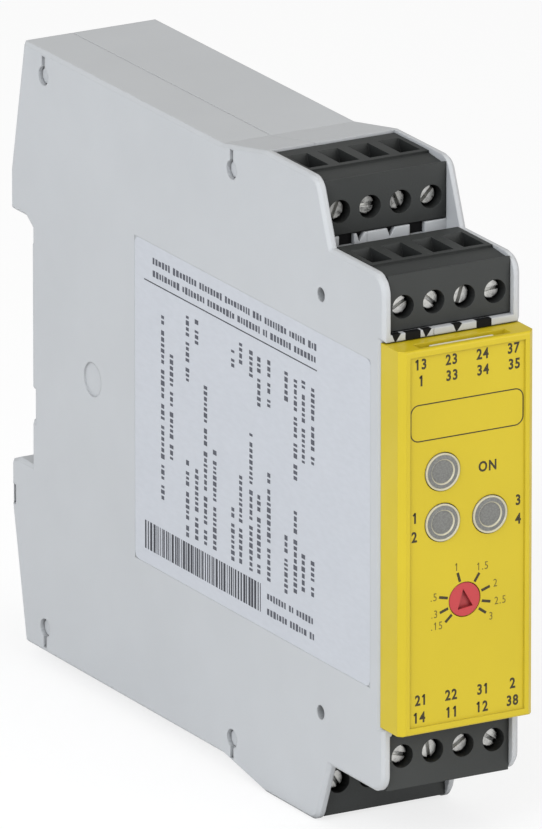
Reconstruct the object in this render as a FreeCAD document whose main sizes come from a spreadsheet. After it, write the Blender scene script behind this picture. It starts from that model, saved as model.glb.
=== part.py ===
import FreeCAD
import Part
import Sketcher
import math
import os
import re

# Safety relay for a 35 mm rail: a two-part moulded housing, a clipped front cover with a dial and
# three lenses, four plug-in screw terminal blocks and a sprung foot latch.
# Frame: X across the housing, fronts face -Y, +Z up, origin at the centre of the rail seat.
# Depths are written as distances in front of the rail seat, so a point's Y is minus its depth.

DIMENSIONS = {
    "body_width": 22.5,
    "split_offset": 3.0,
    "seam_bevel": 0.12,
    "side_wall": 1.2,
    "outer_wall": 1.4,
    "rim_bevel": 0.5,
    "crown_proud": 0.35,
    "crown_rise": 2.25,
    "back_reach": 6.2,
    "back_corner_inset": 4.0,
    "back_taper_start": 25.6,
    "slot_top": 19.4,
    "slot_bottom": 18.2,
    "hook_bevel": 1.7,
    "hook_bevel_drop": 1.3,
    "seat_relief": 0.2,
    "seat_relief_play": 0.1,
    "lead_bevel": 1.9,
    "lead_bevel_drop": 0.75,
    "notch_depth": 0.75,
    "notch_drop": 6.5,
    "notch_span": 4.7,
    "lip_reach": 3.1,
    "lip_gap": 1.3,
    "lip_thickness": 2.5,
    "lip_width": 16.0,
    "ramp_lead": 27.8,
    "ramp_length": 12.5,
    "crown_slant": 3.75,
    "crown_radius": 2.6,
    "nose_radius": 3.0,
    "cheek_lead": 0.9,
    "sill_height": 1.25,
    "cover_inset": 0.25,
    "cover_depth": 5.7,
    "cover_gap": 0.2,
    "cover_wall": 1.2,
    "cover_front": 1.3,
    "cover_bevel": 0.9,
    "cover_edge_radius": 0.4,
    "panel_rim": 0.7,
    "panel_recess": 0.3,
    "front_wall": 1.2,
    "hook_width": 6.0,
    "hook_thickness": 1.0,
    "hook_reach": 2.6,
    "hook_barb": 0.6,
    "hook_clearance": 0.25,
    "strip_slot_width": 15.0,
    "strip_slot_depth": 1.9,
    "strip_slot_setback": 0.4,
    "strip_width": 10.3,
    "strip_thickness": 0.8,
    "strip_clear": 2.65,
    "strip_sink": 0.3,
    "strip_gap": 0.1,
    "pole_margin": 1.25,
    "plug_play": 0.1,
    "plug_back_wall": 1.2,
    "riser_set": 0.5,
    "plug_height": 8.6,
    "plug_floor": 39.3,
    "plug_face": 84.1,
    "stair_run": 18.2,
    "stair_gap": 0.55,
    "plug_gap": 0.2,
    "ledge_shy": 0.05,
    "ridge_setback": 5.0,
    "ridge_step": 0.35,
    "brow_setback": 1.4,
    "brow_drop": 0.7,
    "face_lip_drop": 0.3,
    "funnel_setback": 5.9,
    "funnel_length": 6.5,
    "funnel_width": 3.3,
    "funnel_slope": 1.4,
    "screw_height": 3.4,
    "screw_hole": 3.5,
    "screw_head": 2.9,
    "screw_recess": 1.4,
    "head_length": 1.8,
    "head_play": 0.05,
    "screw_shank": 2.4,
    "shank_play": 0.1,
    "shoulder": 0.85,
    "slot_width": 0.5,
    "slot_depth": 0.7,
    "chamber_play": 0.7,
    "cage_play": 0.15,
    "chamber_floor": 0.6,
    "cage_length": 5.6,
    "cage_width": 3.6,
    "cage_height": 3.5,
    "cage_wall": 0.6,
    "cage_front": 1.4,
    "cage_back": 1.0,
    "cage_setoff": 0.2,
    "clamp_stroke": 1.9,
    "bar_thickness": 0.8,
    "bar_gap": 0.4,
    "bar_width": 2.2,
    "foot_thickness": 0.6,
    "socket_size": 2.0,
    "socket_bore": 1.2,
    "socket_length": 6.2,
    "contact_play": 0.1,
    "nose_inset": 0.85,
    "nose_length": 6.0,
    "nose_floor": 0.8,
    "nose_height": 4.6,
    "header_wall": 0.6,
    "header_play": 0.15,
    "header_base": 1.8,
    "header_shy": 0.8,
    "pin_size": 1.0,
    "pin_stop": 5.7,
    "leg_thickness": 0.8,
    "leg_drop": 2.5,
    "leg_step": 1.0,
    "board_thickness": 1.2,
    "board_standoff": 0.6,
    "board_edge_gap": 1.1,
    "board_back": 3.0,
    "board_seat_gap": 0.2,
    "pad_size": 3.0,
    "post_diameter": 2.4,
    "post_shy": 0.6,
    "key_diameter": 2.8,
    "key_slit": 0.9,
    "key_slit_reach": 3.0,
    "key_rear_depth": 3.8,
    "key_rear_drop": 3.8,
    "key_front_setback": 24.6,
    "key_front_drop": 3.1,
    "vent_diameter": 2.1,
    "vent_lead": 1.3,
    "vent_drop": 7.4,
    "dimple_diameter": 5.1,
    "dimple_sink": 0.3,
    "dimple_depth": 18.3,
    "peep_wall": 0.3,
    "peep_width": 1.0,
    "peep_drop": 22.6,
    "peep_height": 3.0,
    "peep_sink": 1.5,
    "label_thickness": 0.1,
    "label_depth": 31.1,
    "label_end_gap": 2.9,
    "label_sink": 0.02,
    "label_play": 0.15,
    "label_height": 48.6,
    "label_floor": 23.3,
    "label_radius": 1.0,
    "sill_tooth_pitch_start": 0.9,
    "sill_cut_depth": 0.9,
    "sill_notch_width": 1.5,
    "sill_notch_depth": 1.3,
    "sill_window_width": 2.5,
    "sill_window_depth": 1.6,
    "sill_window_left": 6.4,
    "sill_window_right": 5.2,
    "lens_diameter": 5.6,
    "lens_proud": 0.35,
    "lens_play": 0.1,
    "pipe_size": 3.4,
    "pipe_play": 0.3,
    "web_thickness": 1.0,
    "web_height": 5.0,
    "lens_left": 4.0,
    "lens_right": 3.76,
    "lens_top": 9.95,
    "lens_low": 2.4,
    "dial_left": 0.3,
    "dial_drop": 9.7,
    "dial_diameter": 5.0,
    "dial_play": 0.12,
    "dial_sink": 0.1,
    "dial_thickness": 2.2,
    "dial_shaft": 2.4,
    "shaft_play": 0.06,
    "arrow_reach": 1.6,
    "arrow_half_base": 1.25,
    "arrow_tail": 1.3,
    "arrow_depth": 0.6,
    "pot_size": 6.6,
    "pot_height": 2.6,
    "pot_bush": 4.4,
    "pot_bush_length": 2.4,
    "pot_play": 0.2,
    "front_board_gap": 5.05,
    "front_board_width": 15.4,
    "front_board_setback": 3.3,
    "led_size": 1.6,
    "led_height": 0.8,
    "relay_end_gap": 4.6,
    "relay_gap": 2.6,
    "relay_depth": 12.8,
    "relay_base": 2.2,
    "relay_radius": 0.6,
    "relay_setback": 36.1,
    "relay_split": 1.0,
    "capacitor_diameter": 10.0,
    "capacitor_length": 12.5,
    "capacitor_height": 24.0,
    "latch_width": 8.0,
    "latch_thickness": 3.1,
    "latch_play": 0.2,
    "latch_front_wall": 1.1,
    "latch_catch": 2.0,
    "latch_tip_bevel": 1.4,
    "latch_end_rise": 1.4,
    "latch_slot_width": 4.2,
    "latch_slot_height": 1.4,
    "latch_slot_rise": 2.0,
    "window_width": 3.4,
    "spring_room": 10.4,
    "stop_rise": 8.6,
    "stop_height": 1.0,
    "stop_play": 0.2,
    "stop_width": 3.0,
    "spring_diameter": 2.6,
    "spring_wire": 0.4,
    "spring_pitch": 1.9,
    "spring_seat_gap": 0.1,
}
POLES = 4

# Sizes that follow from the ones above, so that neighbours keep their fits when one of those changes.
DERIVED = {
    "near_shell_depth": "(body_width / 2 - split_offset)",
    "stair_drop": "(plug_height + stair_gap)",
    "crown_height": "(2 * (plug_floor + plug_height + crown_proud))",
    "rear_height": "(crown_height - 2 * crown_rise)",
    "ledge_height": "(plug_floor - stair_gap - ledge_shy)",
    "ramp_start": "(plug_face - ramp_lead)",
    "cover_height": "(2 * (plug_floor - stair_drop - plug_gap - sill_height))",
    "cover_width": "(body_width - 2 * cover_inset)",
    "pitch": "((body_width - 2 * pole_margin) / %d)" % POLES,
    "plug_width": "(body_width - 2 * side_wall - 2 * plug_play)",
    "nose_width": "(plug_width - 2 * nose_inset)",
    "chamber_length": "(cage_length + clamp_stroke + cage_setoff + chamber_play)",
    "chamber_width": "(cage_width + 2 * cage_play)",
    "chamber_top": "(screw_height + cage_height / 2 + cage_play)",
    "chamber_end": "(screw_recess + head_length + head_play + shoulder + chamber_length)",
    "plug_depth": "(chamber_end + riser_set + foot_thickness + plug_back_wall)",
    "board_height": "(rear_height - 2 * outer_wall - 2 * board_edge_gap)",
    "key_rear_height": "(rear_height / 2 - key_rear_drop)",
    "key_front_depth": "(plug_face - key_front_setback)",
    "key_front_height": "(rear_height / 2 - key_front_drop)",
    "vent_depth": "(plug_face + vent_lead)",
    "vent_height": "(ledge_height - vent_drop)",
    "label_length": "(plug_face + stair_run - label_end_gap - label_depth)",
    "front_board_height": "(2 * (plug_floor - stair_drop - plug_gap - outer_wall - front_board_gap))",
    "relay_length": "(rear_height / 2 - outer_wall - relay_end_gap - relay_split)",
    "relay_height": "(body_width - 2 * side_wall - board_standoff - board_thickness - relay_gap)",
    "relay_front": "(plug_face - relay_setback)",
    "capacitor_depth": "((board_back + relay_front - relay_depth) / 2)",
    "latch_tip": "(slot_bottom - latch_catch)",
    "latch_end": "(rear_height / 2 - latch_end_rise)",
    "stop_top": "(rear_height / 2 - stop_rise)",
    "window_top": "(stop_top - spring_room)",
    "strip_length": "(cover_height / 2 - strip_sink - lens_top - lens_diameter / 2 - strip_clear)",
}

NAMES = re.compile(r"[a-z_]+")


def spelled(formula):
    """Write a formula of size names as an expression that reads the sheet."""
    def word(match):
        name = match.group()
        if name in DERIVED:
            return spelled(DERIVED[name])
        return "Sizes." + name if name in DIMENSIONS else name

    return NAMES.sub(word, formula)


def bind(item, path, formula):
    """Tie one property of a document object to a formula of size names."""
    item.setExpression(path, spelled(formula))


doc = FreeCAD.newDocument("safety_relay")
sheet = doc.addObject("Spreadsheet::Sheet", "Sizes")
for row, (alias, number) in enumerate(DIMENSIONS.items(), start=1):
    sheet.set("A%d" % row, alias.replace("_", " "))
    sheet.set("B%d" % row, str(number))
    sheet.setAlias("B%d" % row, alias)
doc.recompute()

# Formulas of the sheet's names that several pieces share.
SPLIT = "(0 - split_offset)"
REAR_TOP = "(rear_height / 2)"
CROWN = "(crown_height / 2)"
STEP_FRONT = "(plug_face + crown_slant)"
NOSE_FACE = "(plug_face + stair_run)"
CHEEK_FRONT = "(plug_face + stair_run + cheek_lead)"
COVER_SEAT = "(plug_face + stair_run - plug_gap)"
COVER_FACE = "(plug_face + stair_run - plug_gap + cover_depth)"
CHEEK_END = "(cover_height / 2 + cover_gap)"
REAR_FLOOR = "(plug_floor - plug_gap)"
NOSE_FLOOR = "(plug_floor - stair_drop - plug_gap)"
POCKET_BACK = "(plug_face - plug_depth - 3.3 * plug_gap - header_wall * 4)"
CHANNEL_FRONT = "(0 - latch_front_wall)"
CHANNEL_BACK = "(0 - latch_front_wall - latch_thickness - 2 * latch_play)"
BOARD_NEAR = "(board_standoff + side_wall - body_width / 2)"
BOARD_FACE = "(board_standoff + side_wall - body_width / 2 + board_thickness)"
FRONT_BOARD_FACE = "(plug_face + stair_run - plug_gap - front_wall - front_board_setback)"


def axis_plane(body, role):
    """Find one of a body's own origin planes."""
    return [feature for feature in body.Origin.OriginFeatures if feature.Role == role][0]


def new_body(label):
    """Start a sub-part that is made of sketched features."""
    body = doc.addObject("PartDesign::Body", label)
    body.Label = label
    return body


def new_sketch(body, name, role, offset):
    """Attach an empty sketch to an origin plane of its own body, moved along the plane's normal."""
    sketch = body.newObject("Sketcher::SketchObject", name)
    sketch.AttachmentSupport = (axis_plane(body, role), [""])
    sketch.MapMode = "FlatFace"
    bind(sketch, "AttachmentOffset.Base.z", offset)
    return sketch


def add_loop(sketch, corners):
    """Draw one closed loop of straight edges, each corner tied to its two formulas."""
    first = sketch.GeometryCount
    count = len(corners)
    for i in range(count):
        start = FreeCAD.Vector(i, i * i + 1, 0)
        end = FreeCAD.Vector(i + 1, (i + 1) * (i + 1) + 1, 0)
        sketch.addGeometry(Part.LineSegment(start, end))
    for i in range(count):
        following = first + (i + 1) % count
        sketch.addConstraint(Sketcher.Constraint("Coincident", first + i, 2, following, 1))
    for i, (across, up) in enumerate(corners):
        for kind, formula in (("DistanceX", across), ("DistanceY", up)):
            tie = sketch.addConstraint(Sketcher.Constraint(kind, -1, 1, first + i, 1, 1.0 + i))
            bind(sketch, "Constraints[%d]" % tie, formula)


def add_ring(sketch, across, up, diameter):
    """Draw one circle, its centre and diameter tied to formulas."""
    ring = sketch.addGeometry(Part.Circle(FreeCAD.Vector(1, 1, 0), FreeCAD.Vector(0, 0, 1), 1))
    for kind, formula in (("DistanceX", across), ("DistanceY", up)):
        tie = sketch.addConstraint(Sketcher.Constraint(kind, -1, 1, ring, 3, 1.0))
        bind(sketch, "Constraints[%d]" % tie, formula)
    tie = sketch.addConstraint(Sketcher.Constraint("Diameter", ring, 2.0))
    bind(sketch, "Constraints[%d]" % tie, diameter)


def side_loop(outline):
    """Turn corners given as depth and height into corners of a sketch on the YZ plane."""
    return [("-1 * (%s)" % depth, height) for depth, height in outline]


def rectangle(left, low, right, high):
    """Corners of an upright rectangle."""
    return [(left, low), (right, low), (right, high), (left, high)]


def square(across, up, side):
    """Corners of a square about a middle point."""
    half = "(%s) / 2" % side
    return rectangle("%s - %s" % (across, half), "%s - %s" % (up, half),
                     "%s + %s" % (across, half), "%s + %s" % (up, half))


def polygon(across, up, flats, sides):
    """Corners of a regular polygon about a middle point, given the distance across its flats."""
    reach = 0.5 / math.cos(math.pi / sides)
    corners = []
    for number in range(sides):
        angle = math.pi * (2 * number + 1) / sides
        corners.append(("%s + (%s) * %.6f" % (across, flats, reach * math.cos(angle)),
                        "%s + (%s) * %.6f" % (up, flats, reach * math.sin(angle))))
    return corners


def add_feature(body, kind, name, sketch, length, flip=False, middle=False):
    """Pad or pocket a sketch by a length formula."""
    feature = body.newObject("PartDesign::" + kind, name)
    feature.Profile = sketch
    bind(feature, "Length", length)
    feature.Reversed = flip
    feature.Midplane = middle
    sketch.Visibility = False
    return feature


def dress(body, kind, name, test, size_name, formula):
    """Round or bevel the edges of a body's newest feature whose bounds pass a test."""
    doc.recompute()
    base = body.Tip
    edges = ["Edge%d" % number for number, edge in enumerate(base.Shape.Edges, start=1) if test(edge.BoundBox)]
    if not edges:
        raise RuntimeError("no edge for " + name)
    feature = body.newObject("PartDesign::" + kind, name)
    feature.Base = (base, edges)
    bind(feature, size_name, formula)
    return feature


def size(name):
    """Read one number of the sheet."""
    return float(sheet.get(name))


def mirrored(outline):
    """The same outline below the middle."""
    return [(depth, "-1 * (%s)" % height) for depth, height in outline]


def shell_outline():
    """Side view of the housing as depth and height, walked round from the rail seat."""
    upper = [
        ("0 - hook_bevel", "slot_top"),
        ("0 - back_reach", "slot_top"),
        ("0 - back_reach", "back_taper_start"),
        ("back_corner_inset - back_reach", REAR_TOP),
        ("ramp_start", REAR_TOP),
        ("ramp_start + ramp_length", CROWN),
        ("plug_face", CROWN),
        (STEP_FRONT, "ledge_height"),
        (CHEEK_FRONT, "ledge_height"),
        (CHEEK_FRONT, CHEEK_END),
        (COVER_SEAT, CHEEK_END),
    ]
    lower = mirrored(upper[3:])
    lower.reverse()
    seat = [
        ("0 - back_reach", "0 - back_taper_start"),
        ("0 - back_reach", "0 - slot_bottom - lead_bevel_drop"),
        ("lead_bevel - back_reach", "0 - slot_bottom"),
        ("0", "0 - slot_bottom"),
        ("0", "0 - notch_drop - notch_span"),
        ("notch_depth", "0 - notch_drop - notch_span"),
        ("notch_depth", "0 - notch_drop"),
        ("0", "0 - notch_drop"),
        ("0", "slot_top - lip_reach - seat_relief_play"),
        ("seat_relief", "slot_top - lip_reach - seat_relief_play"),
        ("seat_relief", "slot_top - hook_bevel_drop"),
    ]
    return upper + lower + seat


def cavity_outline():
    """Side view of the space inside the housing, walled off from the terminal pockets."""
    high = "(rear_height / 2 - outer_wall)"
    under_rear = "(plug_floor - plug_gap - outer_wall)"
    under_nose = "(plug_floor - stair_drop - plug_gap - outer_wall)"
    rear_wall = "(%s - outer_wall)" % POCKET_BACK
    slope = "(crown_height - rear_height) / 2 / ramp_length"
    ramp_high = "(rear_height / 2 - outer_wall + (%s - ramp_start) * %s)" % (rear_wall, slope)
    nose_wall = "(plug_face - outer_wall + plug_gap / 2)"
    upper = [
        ("outer_wall", "slot_top + outer_wall"),
        ("outer_wall - back_reach", "slot_top + outer_wall"),
        ("outer_wall - back_reach", "back_taper_start"),
        ("back_corner_inset + outer_wall * 0.9 - back_reach", high),
        ("ramp_start - 2 * outer_wall", high),
        (rear_wall, ramp_high),
        (rear_wall, under_rear),
        (nose_wall, under_rear),
        (nose_wall, under_nose),
        ("%s - front_wall" % COVER_SEAT, under_nose),
    ]
    lower = mirrored(upper[4:])
    lower.reverse()
    return upper + lower + [("outer_wall", "0 - " + high)]


def pocket_outline():
    """Side view of the upper stair that the two terminal blocks slide into."""
    roof = "(plug_face - plug_depth - plug_gap)"
    beyond = "(%s + 5)" % CHEEK_FRONT
    return [
        (POCKET_BACK, REAR_FLOOR),
        ("plug_face + plug_gap / 2", REAR_FLOOR),
        ("plug_face + plug_gap / 2", NOSE_FLOOR),
        (beyond, NOSE_FLOOR),
        (beyond, "crown_height / 2 + 5"),
        (roof, "crown_height / 2 + 5"),
        (roof, "rear_height / 2"),
        (POCKET_BACK, "rear_height / 2"),
    ]


def header_window(depth, height):
    """Side view of the gap in a pocket's back wall that a pin header stands in."""
    rise = "(%s - plug_gap)" % height
    top = "(%s + nose_floor + nose_height + header_play * 2 + header_wall + plug_gap)" % height
    return [
        ("%s - outer_wall - 0.5" % depth, rise),
        ("%s + 0.5" % depth, rise),
        ("%s + 0.5" % depth, top),
        ("%s - outer_wall - 0.5" % depth, top),
    ]


def sill_cuts(sign):
    """V notches and windows along a pocket's sill, seen from the front as loops of corners."""
    loops = []
    for floor in (REAR_FLOOR, NOSE_FLOOR):
        def at(drop, floor=floor):
            return "%d * (%s - %s)" % (sign, floor, drop)
        for k in (-2, -1, 0):
            middle = "(sill_tooth_pitch_start + %d * pitch)" % k
            loops.append([
                ("%s - sill_notch_width / 2" % middle, at("(0 - plug_gap)")),
                ("%s + sill_notch_width / 2" % middle, at("(0 - plug_gap)")),
                ("%s - sill_notch_width / 8" % middle, at("sill_notch_depth")),
            ])
        for left, right in (
            ("(0 - sill_window_left - sill_window_width / 2)", "(0 - sill_window_left + sill_window_width / 2)"),
            ("(sill_window_right - sill_window_width / 2)", "(sill_window_right + sill_window_width / 2)"),
        ):
            loops.append(rectangle(left, at("sill_window_depth"), right, at("(0 - plug_gap)")))
    return loops


def build_shell(label, toward, depth):
    """One half of the housing, from the parting plane to its own side wall."""
    body = new_body(label)
    near = toward < 0

    def side_feature(kind, name, loops, length, offset=SPLIT, flip=near):
        sketch = new_sketch(body, label + "_" + name + "_sketch", "YZ_Plane", offset)
        for loop in loops:
            add_loop(sketch, side_loop(loop))
        return add_feature(body, kind, label + "_" + name, sketch, length, flip)

    side_feature("Pad", "block", [shell_outline()], depth)
    corners = (
        ("crown", size("plug_floor") + size("plug_height") + size("crown_proud"), size("plug_face")),
        ("nose", size("plug_floor") - size("stair_gap") - size("ledge_shy"), size("plug_face") + size("stair_run")),
    )
    for name, high, reach in corners:
        def at_corner(box, high=high, reach=reach):
            across = box.ZLength < 1e-6 and box.YLength < 1e-6
            return across and abs(abs(box.ZMin) - high) < 1e-3 and -box.YMin > reach - 2.0

        dress(body, "Fillet", "%s_%s_corners" % (label, name), at_corner, "Radius", name + "_radius")
    face_x = toward * size("body_width") / 2

    def on_face(box):
        return abs(box.XMin - face_x) < 1e-4 and abs(box.XMax - face_x) < 1e-4

    dress(body, "Chamfer", label + "_rim", on_face, "Size", "rim_bevel")
    if not near:
        split_x = -size("split_offset")

        def on_split(box):
            return abs(box.XMin - split_x) < 1e-4 and abs(box.XMax - split_x) < 1e-4

        dress(body, "Chamfer", label + "_seam", on_split, "Size", "seam_bevel")
    inside = "(%s - side_wall)" % depth
    side_feature("Pocket", "cavity", [cavity_outline()], inside, flip=not near)
    side_feature("Pocket", "stairs", [pocket_outline(), mirrored(pocket_outline())], inside, flip=not near)
    nose_back = "(plug_face + plug_gap / 2)"
    nose_height = "(plug_floor - stair_drop)"
    windows = []
    for back, height in ((POCKET_BACK, "plug_floor"), (nose_back, nose_height)):
        windows.append(header_window(back, height))
        windows.append(mirrored(header_window(back, height)))
    side_feature("Pocket", "header_windows", windows, inside, flip=not near)
    # The fixed hook's lip reaches down behind the rail's upper flange.
    lip = [
        ("0 - lip_gap", "slot_top + 0.5"),
        ("0 - lip_gap", "slot_top - lip_reach"),
        ("0 - lip_gap - lip_thickness * 0.75", "slot_top - lip_reach"),
        ("0 - lip_gap - lip_thickness", "slot_top - lip_reach + 0.7"),
        ("0 - lip_gap - lip_thickness", "slot_top + 0.5"),
    ]
    lip_length = "(lip_width / 2 %s %s)" % ("+" if near else "-", SPLIT)
    side_feature("Pad", "rail_lip", [lip], lip_length)
    # The latch channel is open to the rail slot and through the sloping back.
    channel = [
        (CHANNEL_FRONT, "0 - slot_bottom + 1"),
        (CHANNEL_BACK, "0 - slot_bottom + 1"),
        (CHANNEL_BACK, "0 - rear_height / 2 - 1"),
        (CHANNEL_FRONT, "0 - rear_height / 2 - 1"),
    ]
    channel_half = "(latch_width / 2 + latch_play)"
    channel_length = "(%s %s %s)" % (channel_half, "+" if near else "-", SPLIT)
    side_feature("Pocket", "latch_channel", [channel], channel_length, flip=not near)
    # Front wall holes for the lenses, the dial and the cover's hooks.
    sketch = new_sketch(body, label + "_front_holes_sketch", "XZ_Plane", COVER_SEAT)
    for across, up in LENS_PLACES:
        add_loop(sketch, square(across, up, "pipe_size + 2 * pipe_play"))
    add_loop(sketch, square("0 - dial_left", "0 - dial_drop", "pot_bush + 2 * pot_play"))
    for sign in (1, -1):
        near_edge = "%d * (cover_height / 2 - cover_wall - hook_thickness - hook_clearance)"
        far_edge = "%d * (cover_height / 2 - cover_wall + hook_clearance)"
        half = "(hook_width / 2 + hook_clearance)"
        add_loop(sketch, rectangle("0 - " + half, near_edge % sign, half, far_edge % sign))
    add_feature(body, "Pocket", label + "_front_holes", sketch, "front_wall + 0.5")
    # Sills in front of the pockets, notched between the poles, with two release windows each.
    for name, depth_at in (("rear_sill", "(plug_face + plug_gap / 2)"), ("nose_sill", COVER_SEAT)):
        sketch = new_sketch(body, "%s_%s_sketch" % (label, name), "XZ_Plane", depth_at)
        start = 0 if name == "rear_sill" else 5
        for sign in (1, -1):
            for loop in sill_cuts(sign)[start:start + 5]:
                add_loop(sketch, loop)
        add_feature(body, "Pocket", "%s_%s" % (label, name), sketch, "sill_cut_depth")
    wall_face = "(0 - body_width / 2)" if near else "(body_width / 2)"
    sketch = new_sketch(body, label + "_vents_sketch", "YZ_Plane", wall_face)
    for sign in (1, -1):
        add_loop(sketch, polygon("0 - vent_depth", "%d * vent_height" % sign, "vent_diameter", 16))
    add_feature(body, "Pocket", label + "_vents", sketch, "side_wall", flip=near)
    if near:
        dress_near_shell(body, label)
    else:
        dress_far_shell(body, label)
    return body


KEYS = [
    ("key_rear_depth", "key_rear_height"),
    ("key_front_depth", "key_front_height"),
]


def label_place(play):
    """Corners of the label's place on the side wall, with play all round."""
    return rectangle("0 - label_depth - label_length - %s" % play, "0 - label_floor - %s" % play,
                     "%s - label_depth" % play, "label_height - label_floor + %s" % play)


def dress_near_shell(body, label):
    """Keyhole snap windows, a moulding dimple, the label's recess and the pads under the main board."""
    outer = "(0 - body_width / 2)"
    sketch = new_sketch(body, label + "_keys_sketch", "YZ_Plane", outer)
    slits = new_sketch(body, label + "_slits_sketch", "YZ_Plane", outer)
    for depth, height in KEYS:
        for sign in (1, -1):
            add_loop(sketch, polygon("0 - " + depth, "%d * %s" % (sign, height), "key_diameter", 16))
            low = "%d * %s" % (sign, height)
            high = "%d * (%s + key_slit_reach)" % (sign, height)
            add_loop(slits, rectangle("0 - %s - key_slit / 2" % depth, low, "key_slit / 2 - " + depth, high))
    add_feature(body, "Pocket", label + "_keys", sketch, "side_wall", flip=True)
    add_feature(body, "Pocket", label + "_slits", slits, "side_wall / 2", flip=True)
    sketch = new_sketch(body, label + "_dimple_sketch", "YZ_Plane", outer)
    add_ring(sketch, "0 - dimple_depth", "0", "dimple_diameter")
    add_feature(body, "Pocket", label + "_dimple", sketch, "dimple_sink", flip=True)
    sketch = new_sketch(body, label + "_recess_sketch", "YZ_Plane", outer)
    add_loop(sketch, label_place("label_play"))
    add_feature(body, "Pocket", label + "_recess", sketch, "label_sink + label_thickness", flip=True)
    sketch = new_sketch(body, label + "_peep_sketch", "YZ_Plane", outer)
    peep = rectangle("back_reach - peep_wall - peep_width", "0 - peep_drop - peep_height",
                     "back_reach - peep_wall", "0 - peep_drop")
    add_loop(sketch, peep)
    add_feature(body, "Pocket", label + "_peep", sketch, "peep_sink", flip=True)
    sketch = new_sketch(body, label + "_pads_sketch", "YZ_Plane", BOARD_NEAR)
    for depth in ("board_back + pad_size", "key_front_depth - 4 * pad_size"):
        for sign in (1, -1):
            low = "%d * (board_height / 2 - 2.5 * pad_size)" % sign
            high = "%d * (board_height / 2 - 1.5 * pad_size)" % sign
            add_loop(sketch, rectangle("0 - %s - pad_size" % depth, low, "0 - (%s)" % depth, high))
    add_feature(body, "Pad", label + "_pads", sketch, "board_standoff + side_wall / 2", flip=True)


def dress_far_shell(body, label):
    """Snap posts that cross to the near shell's keyholes, and the latch spring's stop."""
    sketch = new_sketch(body, label + "_posts_sketch", "YZ_Plane", "(0 - body_width / 2 + post_shy)")
    for depth, height in KEYS:
        for sign in (1, -1):
            add_loop(sketch, polygon("0 - " + depth, "%d * %s" % (sign, height), "post_diameter", 8))
    add_feature(body, "Pad", label + "_posts", sketch, "body_width - post_shy - side_wall / 2")
    sketch = new_sketch(body, label + "_stop_sketch", "YZ_Plane", SPLIT)
    stop = [
        ("0.5 - latch_front_wall", "0 - stop_top"),
        ("latch_play / 2 - latch_front_wall - latch_thickness", "0 - stop_top"),
        ("latch_play / 2 - latch_front_wall - latch_thickness", "0 - stop_top - stop_height"),
        ("0.5 - latch_front_wall", "0 - stop_top - stop_height"),
    ]
    add_loop(sketch, side_loop(stop))
    bind(sketch, "AttachmentOffset.Base.z", "(0 - stop_width / 2)")
    add_feature(body, "Pad", label + "_stop", sketch, "stop_width")


LENS_PLACES = [
    ("0 - lens_left", "lens_top"),
    ("0 - lens_left", "lens_low"),
    ("lens_right", "lens_low"),
]


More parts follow.
